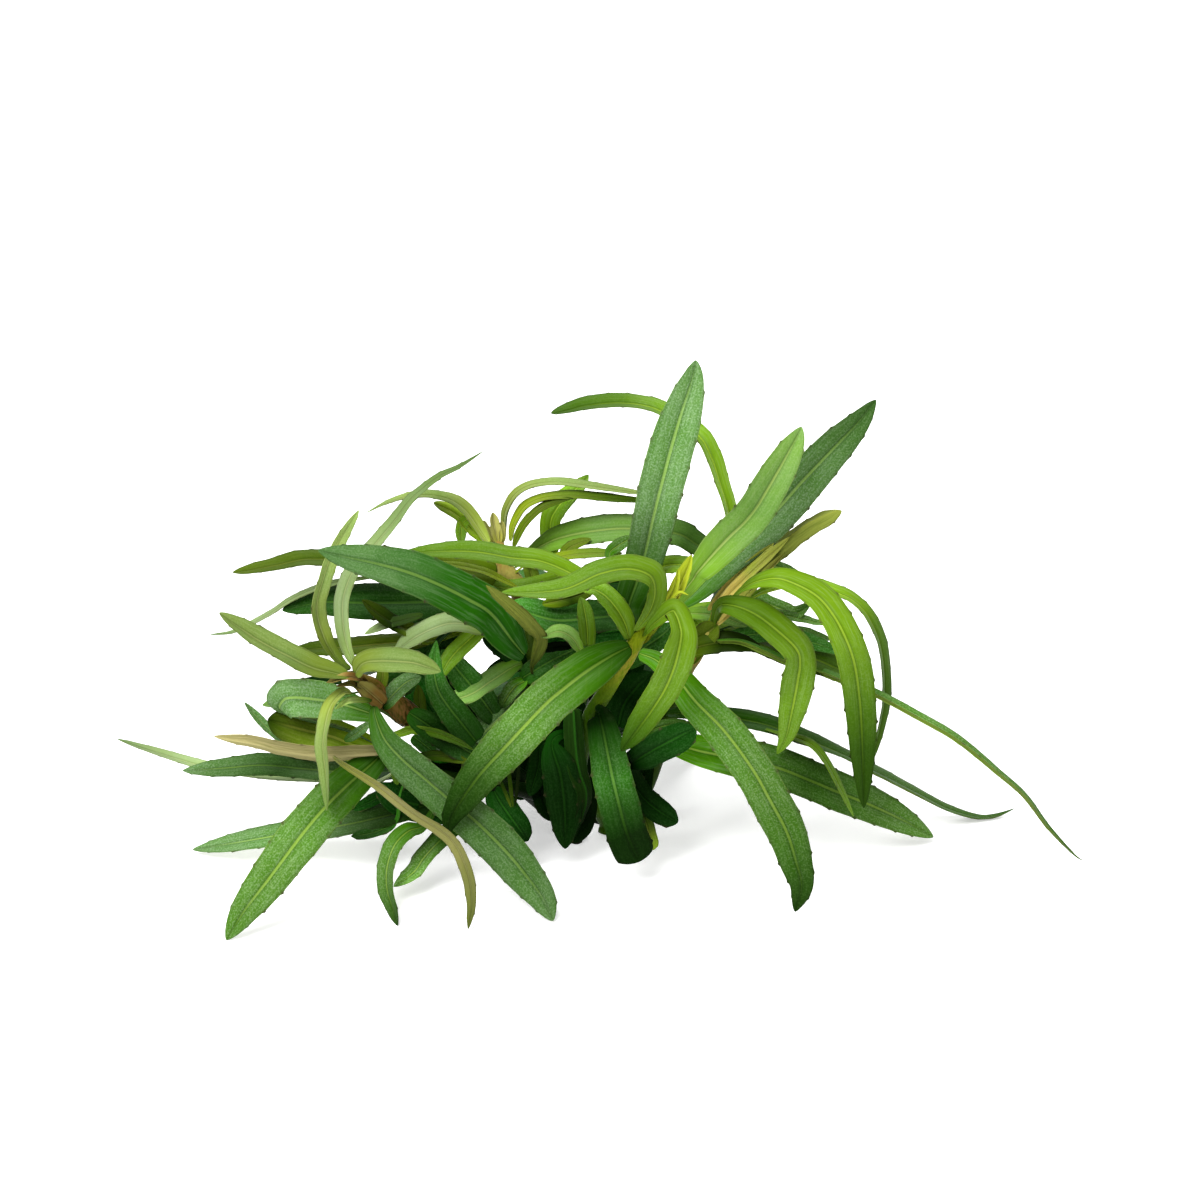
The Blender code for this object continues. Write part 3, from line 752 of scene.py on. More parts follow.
    def surface(self) -> Surface:
        """Works out the closed surface of the blade, with its stalk and its tip.

        Returns:
            The surface, with what the leaf's pattern reads at each point.
        """
        points = np.array([place(point) for point in self.stalk + self.route])
        length = curve_length(points)
        stalk = length - curve_length(points[len(self.stalk):])
        count = int(np.clip(length / STATION_STEP, LEAST_STATIONS, MOST_STATIONS))
        share = np.unique(np.round(np.append(np.linspace(0, 1, count, endpoint=False), TIP_SHARES), 5))
        route = smooth_route(points, share)
        blade = np.maximum((share * length - stalk) / (length - stalk), 0)
        across, facing = (part[:-1, None] for part in self.frames(route, share, blade))
        travelled, share = share[:-1] * length, blade[:-1]
        run = np.maximum(travelled - stalk, 0)
        half_sides, up_teeth = self.outline(share, run)
        down_stalk = 1 - np.minimum(travelled / max(stalk, SHORTEST_STALK), 1)
        half_sides *= 1 - STALK_TAPER * smoothstep(down_stalk, 0, 0.6)[:, None]

        top = np.concatenate([-BLADE_PLACES[:0:-1], BLADE_PLACES])
        places = np.concatenate([top, top[-2:0:-1]])
        under = np.repeat((0.0, 1.0), (len(top), len(top) - 2))
        half = np.where(places < 0, half_sides[:, :1], half_sides[:, 1:])
        spread, height = self.section(share, places, half, under)
        rings = route[:-1, None] + spread[..., None] * across + height[..., None] * facing
        flat = rings.reshape(-1, 3)
        flat[:, 2] = np.maximum(flat[:, 2], LOWEST)

        sides = len(places)
        tip = len(share) * sides
        faces = ring_faces(len(share), sides) + fan_faces(tip - sides, sides, tip)
        last = len(top) - 1
        opposite = ((sides - np.arange(last + 1)) % sides).tolist()
        faces.append((0, opposite[1], 1))
        faces += [(one, opposite[one], opposite[one + 1], one + 1) for one in range(1, last - 1)]
        faces.append((last - 1, opposite[last - 1], last))

        tone = spread_out(self.tone, share)
        tooth = np.where(places < 0, up_teeth[:, :1], up_teeth[:, 1:])
        whole = np.ones((len(share), sides))
        values = {"across": (whole * places, 0.0), "along": (whole * share[:, None], 1.0),
                  "run": (whole * run[:, None], length), "under": (whole * under, 0.5),
                  "tooth": (tooth, 0.0), "tone": (whole * tone[:, None], tone[-1])}
        values = {key: np.append(value, at_tip) for key, (value, at_tip) in values.items()}
        return Surface(np.vstack([flat, route[-1:]]), faces, values)

    def build(self) -> None:
        """Makes the leaf, dresses it and hands it over."""
        finish = self.look.value
        material = finish.material("leaf_" + self.look.name.lower())
        self.surface().hand_over(self.name, material, finish.slot)


def young_leaf(name: str, route: tuple[Point, ...], width: float, turns: Profile, fold: float,
               tone: Profile, base: float = 0.35) -> Leaf:
    """Makes a folded leaf of a growing tip, with a plain margin; it takes what a Leaf takes."""
    return Leaf(name, route, width, turns, Look.YOUNG, fold, base, teeth=0, tone=tone)


@dataclass
class Bud:
    """A growing tip: a few folded young leaves that stand close together."""

    name: str
    finish: LeafFinish
    leaves: tuple[Leaf, ...]

    def build(self) -> None:
        """Joins the young leaves' surfaces into one piece, dresses it and hands it over."""
        surface = join_surfaces([leaf.surface() for leaf in self.leaves])
        surface.hand_over(self.name, self.finish.material(self.name + "_skin"), "bud")


@dataclass
class Stem:
    """A tapering, faintly four-sided tube that stands on its cut end, with swollen nodes.

    At an angle a round it, its radius is the stem's own times the knuckles' swelling times
    (1 + 0.035 cos 4a).
    """

    name: str
    foot: tuple[float, float]
    route: tuple[Point, ...]
    radius: float
    bark: Bark
    knuckles: tuple[float, ...] = (0.9,)

    def build(self) -> None:
        """Makes the stem, dresses it and hands it over."""
        foot = [np.array((*self.foot, height)) for height in (0.0, CUT_HEIGHT)]
        points = np.array(foot + [place(point) for point in self.route])
        length = curve_length(points)
        count = int(length / STEM_STEP)
        share = np.linspace(0, 1, count)
        route = smooth_route(points, share)
        along = unit(np.gradient(route, axis=0))
        side = unit(np.cross(along, np.tile(FORWARD, (count, 1))))
        front = np.cross(side, along)
        apart = [(share - centre) * length for centre in self.knuckles]
        swelling = 0.95 + 0.1 * sum(np.exp(-((gap / KNUCKLE_LENGTH) ** 2)) for gap in apart)
        swelling *= 1 - 0.35 * smoothstep(share, 0.93, 1.0)
        knuckle = np.max([np.exp(-((gap / FLUSH_LENGTH) ** 2)) for gap in apart], axis=0)
        angle = np.linspace(0, 2 * math.pi, STEM_SIDES, endpoint=False)
        radius = self.radius * swelling[:, None] * (1 + STEM_SQUARENESS * np.cos(4 * angle))
        rings = (route[:, None] + (radius * np.cos(angle))[..., None] * side[:, None]
                 + (radius * np.sin(angle))[..., None] * front[:, None])
        ends = [route[:1], route[-1:] + 0.4 * self.radius * along[-1:]]

        cut = count * STEM_SIDES
        foot_fan = fan_faces(0, STEM_SIDES, cut)
        top_fan = fan_faces(cut - STEM_SIDES, STEM_SIDES, cut + 1)
        faces = [face[::-1] for face in ring_faces(count, STEM_SIDES) + top_fan] + foot_fan
        values = {"along": np.append(np.repeat(share, STEM_SIDES), (0.0, 1.0)),
                  "knuckle": np.append(np.repeat(knuckle, STEM_SIDES), knuckle[[0, -1]])}
        surface = Surface(np.vstack([rings.reshape(-1, 3), *ends]), faces, values)
        surface.hand_over(self.name, self.bark.value.material("stem_" + self.bark.name.lower()), "stem")


@dataclass
class Shoot:
    """One cut shoot: its stem, its growing tips and its leaves."""

    stem: Stem
    buds: tuple[Bud, ...]
    leaves: tuple[Leaf, ...]

    def build(self) -> None:
        """Builds every piece of the shoot."""
        for piece in (self.stem, *self.buds, *self.leaves):
            piece.build()


BUD_YELLOW = LeafFinish((176, 194, 40), (178, 176, 34), (212, 220, 112), (162, 174, 44), (206, 212, 84),
                        0.3, 0.15, 0.1)
BUD_TAN = LeafFinish((168, 182, 66), (196, 176, 88), (218, 216, 132), (168, 176, 66), (202, 198, 108),
                     0.4, 0.1, 0.1, 0.4)
BUD_CREAM = LeafFinish((194, 192, 104), (184, 184, 76), (224, 218, 156), (184, 172, 104), (210, 204, 136),
                       0.3, 0.1, 0.1)
BUD_BROWN = LeafFinish((180, 164, 86), (158, 116, 56), (220, 204, 144), (160, 130, 76), (208, 190, 120),
                       0.5, 0.1, 0.1)


# The front shoot, which leans right and bears the broadest leaves
FRONT_STEM = Stem("front_stem", (0, 0), (
    (-2.5, 12, -1), (-3.5, 16, -4), (-2.5, 21, -6), (-1.5, 24.5, -7), (1, 28.5, -8), (5.5, 36, -9),
    (7.5, 38.5, -9)), 1.4, Bark.OLIVE, (0.88,))
FRONT_BUD = Bud("front_bud", BUD_YELLOW, (
    young_leaf("front_bud_a", ((8, 38.5, -9), (10.5, 42.3, -9), (12.4, 45.5, -8.8), (13.1, 49, -8.6)),
               2.2, 20, 45, (0.8, 1.3, 1.5)),
    young_leaf("front_bud_b", ((8.5, 38.5, -8.4), (11.5, 43, -8), (13.8, 47.5, -7.5), (15.3, 51.3, -7.3)),
               3.8, -20, 45, (0.8, 1.3, 1.5)),
    young_leaf("front_bud_c", ((8.8, 38.5, -10), (11, 42.2, -10.5), (13, 44.9, -10.8), (14.8, 44.5, -11)),
               1.6, -60, 35, (0.8, 1.2, 1.3)),
    young_leaf("front_bud_d", ((6.3, 36.4, -8.6), (8.3, 39.5, -9.6), (9.9, 42.4, -9.4)),
               3.4, 10, 40, (0.6, 0.7, 0.9)),
))
FRONT_LEAVES = (
    Leaf("front_left_leaf", ((5, 36, -11.5), (2, 34.5, -13.3), (-2, 32, -15), (-6, 29, -16),
         (-9.5, 26, -17.5), (-16.5, 18.5, -20), (-20.5, 14, -21.5), (-24.5, 8, -22.5), (-25.5, 4.5, -23)),
         8, (10, 8, 0), Look.MID, base=0.3, widest=0.36, tone=(0.41, 0.92, 1.27, 0.38, 0.07)),
    Leaf("front_bright_leaf", ((6, 38.5, -11.5), (8.4, 41.5, -12.5), (9.5, 44.8, -13), (8.7, 47.9, -14),
         (5, 49.2, -15), (0, 48.4, -16), (-6.5, 45.7, -17), (-16.4, 45, -18)),
         6.5, (60, 50, 50, 55), Look.BRIGHT, fold=15, base=0.2, tone=(1.27, 0.9, 1.15)),
    Leaf("front_short_leaf", ((7.6, 38.3, -14.5), (9, 40, -15.5), (12.2, 42.2, -17.5), (13.8, 39, -20),
         (13.5, 36, -21), (12, 31.5, -22), (9.5, 27, -22.5), (3.5, 18.5, -23)),
         6, (-40, -35, 20, 25), Look.BRIGHT, fold=25, base=0.15, widest=0.6,
         tone=(0.65, 1.18, 0.94, 0.17), stalk=((7, 37.6, -9.4),)),
    Leaf("front_right_leaf", ((6.5, 34.8, -12), (9.5, 33.5, -13.2), (13, 30.3, -15.5), (16, 26.6, -17),
         (20.7, 21.8, -19), (25.4, 15.5, -21), (28.3, 10.3, -22.5), (31.1, 5, -23.5), (32.7, 0, -24.5),
         (33.6, -4, -25), (32.5, -8.3, -25.2)),
         6.9, (20, 5, 0), Look.MID, base=0.3, widest=0.55, tone=(1.7, 1.32, 1.1, 0.75, 0.17)),
    Leaf("upright_leaf", ((4.8, 42.5, -4.5), (6.2, 46.7, -3), (7.6, 51.3, -1), (9, 57.5, 0.5),
         (11.4, 67, 3), (13.4, 74, 4), (15.3, 80, 5), (16, 83.7, 5)),
         7.8, 10, Look.BLUE, fold=15, base=0.62, widest=0.62, blunt=2.1,
         tone=(0.34, 0.61, 1.32, 1.55, 1.6, 1.55), stalk=((6.6, 37.5, -8.8), (5.4, 40.2, -6.4))),
    Leaf("pale_upright_leaf", ((15.5, 47, -5), (16.5, 48.5, -5), (21, 53.5, -4), (25, 57.5, -3),
         (28.3, 62.5, -1), (32.1, 69.4, 2), (33.6, 72.6, 3)),
         6.6, 10, Look.PALE, fold=18, base=0.5, blunt=3.4, tone=(1.23, 0.75, 1.08),
         stalk=((8, 38.7, -8.6), (12.2, 43, -6.6))),
    Leaf("dark_upright_leaf", ((14, 43.5, -1), (15.9, 45.3, 0), (20.7, 50.8, 3), (28.3, 57.3, 5.5),
         (33.7, 63.3, 7.5), (38.6, 68.5, 9), (43, 73.2, 10), (46, 77.1, 11)),
         7.8, 10, Look.BLUE, fold=15, blunt=2.6, tone=(1.29, 1.1, 0.48),
         stalk=((8, 38.5, -8.2), (11.3, 41.3, -4))),
    Leaf("front_under_leaf", ((5, 37.2, -9.5), (4.2, 40.2, -9.5), (2, 43.5, -10), (-0.7, 45.5, -11),
         (-3.2, 45.3, -12)), 4.2, 30, Look.BRIGHT, fold=18, tone=(1.03, 2.43, 3.42)),
    Leaf("inner_wide_leaf", ((8.3, 42.3, 0), (4.2, 41.6, 0), (-1, 41, -0.5), (-7, 40.6, -1),
         (-12.2, 41.9, -2), (-15, 43, -2.4)),
         7.6, 42, Look.DEEP, base=0.8, blunt=5, tone=(1.75, 0.56, 1.06, 3.48),
         stalk=((7.4, 38.2, -8), (8.6, 41.3, -3.5))),
    Leaf("inner_upright_leaf", ((-2, 36, -6), (-2.2, 39.5, -6), (-2.7, 42.5, -6), (-3.3, 44.2, -6)),
         2.9, 0, Look.BRIGHT, fold=15, base=0.8, tone=(0.7, 0.85, 1)),
    Leaf("inner_arch_leaf", ((-2.9, 35, -7), (-4.6, 37.6, -7), (-7, 38.6, -7.5), (-9.8, 37.5, -8)),
         3.4, 45, Look.PALE, fold=15, tone=(1.1, 1.05, 0.95)),
    Leaf("inner_bright_leaf", ((7.5, 48, 2), (10.5, 49.5, 2.5), (14.5, 49.7, 3), (18.5, 48.7, 4)),
         4.2, -45, Look.BRIGHT, tone=(1.6, 1.7), stalk=((7.6, 39, -8), (7.8, 44, -2))),
    Leaf("inner_dark_leaf", ((0.2, 45.8, -2), (2, 46.4, -2), (4.4, 46.6, -2)),
         3.6, 0, Look.DARK, base=0.7, teeth=0, stalk=((6.8, 38.6, -8.2), (2.6, 42, -4))),
    Leaf("inner_petiole_left", ((-16.7, 13.8, -9), (-15.6, 11.2, -9.5), (-14.8, 9.1, -10)),
         0.6, 0, Look.OLIVE, fold=10, base=0.9, teeth=0, tone=(0.05, 0.32, 0.96)),
    Leaf("inner_petiole_middle", ((-15.3, 16, -9), (-14.9, 12.5, -9.5), (-14.5, 9.1, -10)),
         0.7, 0, Look.OLIVE, fold=10, base=0.9, teeth=0, tone=(0.08, 0.3, 0.6)),
    Leaf("inner_petiole_right", ((-13.5, 16.5, -9), (-13.8, 12.5, -9.5), (-14.2, 9.1, -10)),
         0.6, 0, Look.TAN, fold=10, base=0.9, teeth=0, tone=(0.02, 0.04, 0.06)),
    Leaf("inner_olive_strip", ((-9.6, 43, -0.5), (-6, 43.7, -0.5), (-3.2, 44.5, -0.5),
         (-0.5, 45.6, -0.5)), 2.4, 20, Look.OLIVE, tone=(1.45, 0.24, 1.01)),
    Leaf("inner_shade_leaf", ((4, 33, -3), (7, 35.5, -3.4), (10.5, 38, -3.6), (12.4, 40, -3.6)),
         4.4, 0, Look.DEEP, base=0.6, tone=(0.6, 1.21, 1.88)),
    Leaf("inner_lower_leaf", ((3, 22.5, -2.5), (3.9, 26, -3), (6, 29, -3), (8.8, 31.6, -2.5)),
         6.2, 0, Look.DARK, base=0.7, tone=(1.4, 0.41, 1.19)),
    Leaf("inner_cover_leaf", ((2, 28, 2), (4.5, 31.5, 2), (7.2, 34.6, 2)), 4.4, 10, Look.DARK, base=0.7),
    Leaf("inner_back_leaf", ((-4, 37.6, 3), (1, 38.3, 3), (5, 38.8, 2.5), (9.5, 39.8, 2)),
         4.2, 20, Look.DARK, base=0.6, tone=(2.6, 6.84, 5)),
)

# The right shoot, whose leaves arch away to the right
RIGHT_STEM = Stem("right_stem", (4.2, 2.2), (
    (8, 14, 6), (11.3, 24, 5), (13.8, 31.5, 3), (16.4, 36, 2), (18.5, 38.5, 1)), 1.6, Bark.YELLOW,
    (0.85,))
RIGHT_BUD = Bud("right_bud", BUD_TAN, (
    young_leaf("right_bud_a", ((18.6, 41.2, 0.5), (22, 45.3, 1), (26, 49.2, 1.5), (31.6, 54.2, 2.5)),
               2.6, -25, 40, (2.69, 1.92, 1.14)),
    young_leaf("right_bud_b", ((19.8, 40.6, 1.6), (23.5, 44.4, 2.2), (27, 47.8, 2.8), (31, 51.8, 3.2)),
               2.2, -50, 35, (2.15, 1.44, 0.83)),
    young_leaf("right_bud_c", ((18, 42, 1.8), (21.5, 46.1, 2.6), (25.1, 49.8, 3.2), (29, 53.2, 4)),
               2.2, 20, 35, (2.69, 1.92, 1.34)),
    young_leaf("right_bud_d", ((19.5, 39.5, 0), (22.8, 43, 0), (26, 46.2, 0.3), (29, 49.2, 0.8)),
               2, -20, 40, (2.96, 2.04, 1.24)),
))
RIGHT_LEAVES = (
    Leaf("right_bud_leaf", ((27.6, 49.6, 6), (30.2, 52.2, 6), (33, 54.5, 6.5), (36.6, 56.8, 7),
         (40.3, 58.6, 8)),
         5, 130, Look.OLIVE, fold=20, base=0.5, blunt=4, tone=(1.56, 1.35, 1.85),
         stalk=((18.8, 39.2, 1.2), (23.2, 44.2, 3.8))),
    Leaf("right_arch_leaf", ((23.5, 45.4, -1.5), (26, 46.9, -3), (29.5, 47.5, -5), (33, 46.4, -6),
         (36.4, 44.4, -7), (39, 41.3, -8.5), (41, 37.5, -10), (42.5, 33, -11), (43.3, 27, -11.5),
         (43.8, 18.5, -11.5), (44, 9, -11.5)),
         5.8, (-50, -22, 0, -10), Look.BRIGHT, fold=15, base=0.2,
         tone=(1.29, 1.29, 1.28, 0.78, 0.32, 0.2), stalk=((18.8, 39.2, 0.8), (21, 42.6, -0.4))),
    Leaf("right_outer_arch", ((25.5, 44.5, 5.5), (27.5, 45.6, 5), (31, 46.5, 5), (35, 46.7, 5),
         (40, 45.1, 4), (42.5, 43.8, 4), (44.9, 41.3, 3.5), (46.9, 37, 3), (47.7, 32, 2.5),
         (47.7, 26.7, 1), (46.8, 22, 0), (45.4, 16.8, -1)),
         4.4, (-65, -60, -65, -50), Look.BRIGHT, fold=20, tone=(2.55, 2.06, 0.78, 0.48, 0.63),
         stalk=((18.8, 39.2, 1.4), (22, 42.3, 4))),
    Leaf("right_kinked_leaf", ((19.5, 42.5, -1.5), (22, 43, -4), (26, 41.5, -6), (30, 38.5, -7.5),
         (33, 35.5, -8.5), (33.5, 33, -9), (33, 30, -9), (32, 25.5, -8.5), (31, 21, -8), (29.5, 18, -8)),
         6.5, (-45, -35, -35, 15, 15), Look.BRIGHT, blunt=2, tone=(0.68, 0.71, 1.09, 1.36, 1.17),
         stalk=((18.6, 38.7, 0.8),)),
    Leaf("right_dark_leaf", ((14.8, 41.5, 7), (19, 41.2, 6.5), (22, 39.8, 5), (26, 38, 3),
         (31.5, 35.7, 1), (36.5, 33.9, 1), (40.5, 32.1, 2), (44.8, 30.5, 3)),
         8.4, -45, Look.BRIGHT, base=0.45, tone=(3.38, 2.07, 0.45, 0.59, 0.75),
         stalk=((18.2, 38.2, 1.6), (15.8, 40.2, 5.2))),
    Leaf("right_pale_leaf", ((14.6, 41.6, 4.6), (18, 41.4, 4), (21.2, 40.7, 3.4), (24.6, 39.3, 2.8)),
         2.8, -30, Look.PALE, base=0.6, tone=(2.16, 2.2, 1.08)),
    Leaf("right_sheath_leaf", ((14.2, 33.6, 1.4), (15.6, 35.8, 0.6), (17.2, 37.6, 0), (19.6, 39.6, -0.4)),
         4.6, 0, Look.OLIVE, fold=25, base=0.7, blunt=6, teeth=0, tone=(0.9, 1.1)),
    Leaf("right_long_leaf", ((19.5, 37, -1.5), (23.5, 37, -2), (27.5, 35.5, -3.5), (31.5, 33.7, -2.5),
         (36.5, 32.2, -1.5), (40.5, 30.7, -3), (45.5, 28.7, -5.5), (53.5, 24.4, -7), (60, 20.6, -7.5),
         (66.5, 15.2, -7.5), (71, 11.2, -7.5), (75, 5.8, -7.5), (79, 1.4, -7.3), (80.8, 0.1, -7.2)),
         3.6, -76, Look.MID, fold=25, tone=(1.25, 1.48, 0.66)),
    Leaf("high_arch_leaf", ((22.8, 51, 9), (21.8, 58.5, 10), (20.4, 63.3, 11), (18.9, 67.8, 12),
         (16.6, 71.6, 13), (10.7, 75.4, 14), (7.2, 76.6, 14), (2.7, 77, 14), (-2.3, 76.5, 13.5),
         (-5, 75.8, 13), (-8.2, 74.8, 12)),
         5.8, 60, Look.BRIGHT, fold=20, base=0.6, widest=0.5, blunt=8,
         tone=(2.82, 2.35, 1.87, 0.73, 0.41),
         stalk=((18.3, 39.2, 1.2), (20.3, 44, 4.5), (22.2, 48, 7.5))),
    Leaf("right_wavy_leaf", ((19, 43, 8), (25, 44.2, 8.5), (29.2, 42.8, 9), (32.4, 41.6, 9),
         (35.3, 43.2, 8.5)),
         4.6, -50, Look.MID, tone=(3.6, 2.64, 2.7), stalk=((18.4, 38.6, 1.6), (18, 41.6, 5.8))),
    Leaf("right_thin_leaf", ((26, 42, 7), (33.5, 40.7, 7.5), (35.8, 40.1, 7.5), (38.1, 39.7, 7.5)),
         2.4, -50, Look.MID, fold=15, tone=(1.57, 1.31, 2.82), stalk=((18.6, 38.6, 1.8), (22, 41, 5.2))),
    Leaf("right_narrow_leaf", ((26, 39.8, 5), (33.7, 38.6, 5), (36.5, 37.7, 5), (38.5, 37.1, 5)),
         2.4, -50, Look.MID, fold=15, blunt=6, tone=0.9, stalk=((18.4, 38, 1.6), (22, 39.4, 4))),
    Leaf("right_small_leaf", ((25, 49.8, 9), (29, 49.5, 9), (31.5, 48.7, 9), (34.5, 47, 9)),
         2.6, -45, Look.MID, fold=15, tone=(0.8, 1.2, 1.8), stalk=((18.8, 39.2, 1.5), (22, 45, 6))),
    Leaf("right_base_leaf", ((13.8, 34.9, -0.5), (17, 36.2, -1), (22, 36.8, -1.6), (27, 35.6, -3)),
         4.2, -30, Look.OLIVE, base=0.6, tone=(1.32, 0.2, 0.17)),
    Leaf("right_shade_leaf", ((20, 36.5, 2), (25, 38, 2), (30, 38, 2), (36, 36.5, 2), (40.5, 34.8, 2)),
         3.6, -30, Look.DEEP, base=0.7, tone=(3.92, 1.4, 2.18)),
    Leaf("right_back_leaf", ((17, 39, 6), (22, 41, 12), (27, 41.5, 19), (31, 40, 27)),
         6.5, -60, Look.DEEP),
)

# The rear shoot, with its pale arches and the long leaves that lie over the middle
REAR_STEM = Stem("rear_stem", (-5, 5.4), (
    (-9, 17, 7), (-11.5, 28, 5), (-11, 34, 4), (-12, 39.5, 8), (-13.5, 45.5, 11), (-16, 49, 13),
    (-17, 53, 14)), 1.6, Bark.YELLOW, (0.82, 0.97))
REAR_BUD = Bud("rear_bud", BUD_CREAM, (
    young_leaf("rear_bud_a", ((-16.8, 53, 14), (-17.4, 55.5, 14.3), (-17.9, 58.3, 14.8)),
               2.6, 20, 40, 1.36),
    young_leaf("rear_bud_b", ((-17.4, 53, 14.5), (-18.6, 55, 15), (-19.4, 57, 15.4)), 2.2, -30, 40, 1.36),
    young_leaf("rear_bud_c", ((-16.4, 53, 14.6), (-16.3, 55, 15), (-16.4, 57, 15.5)), 2.2, 50, 40, 1.36),
))
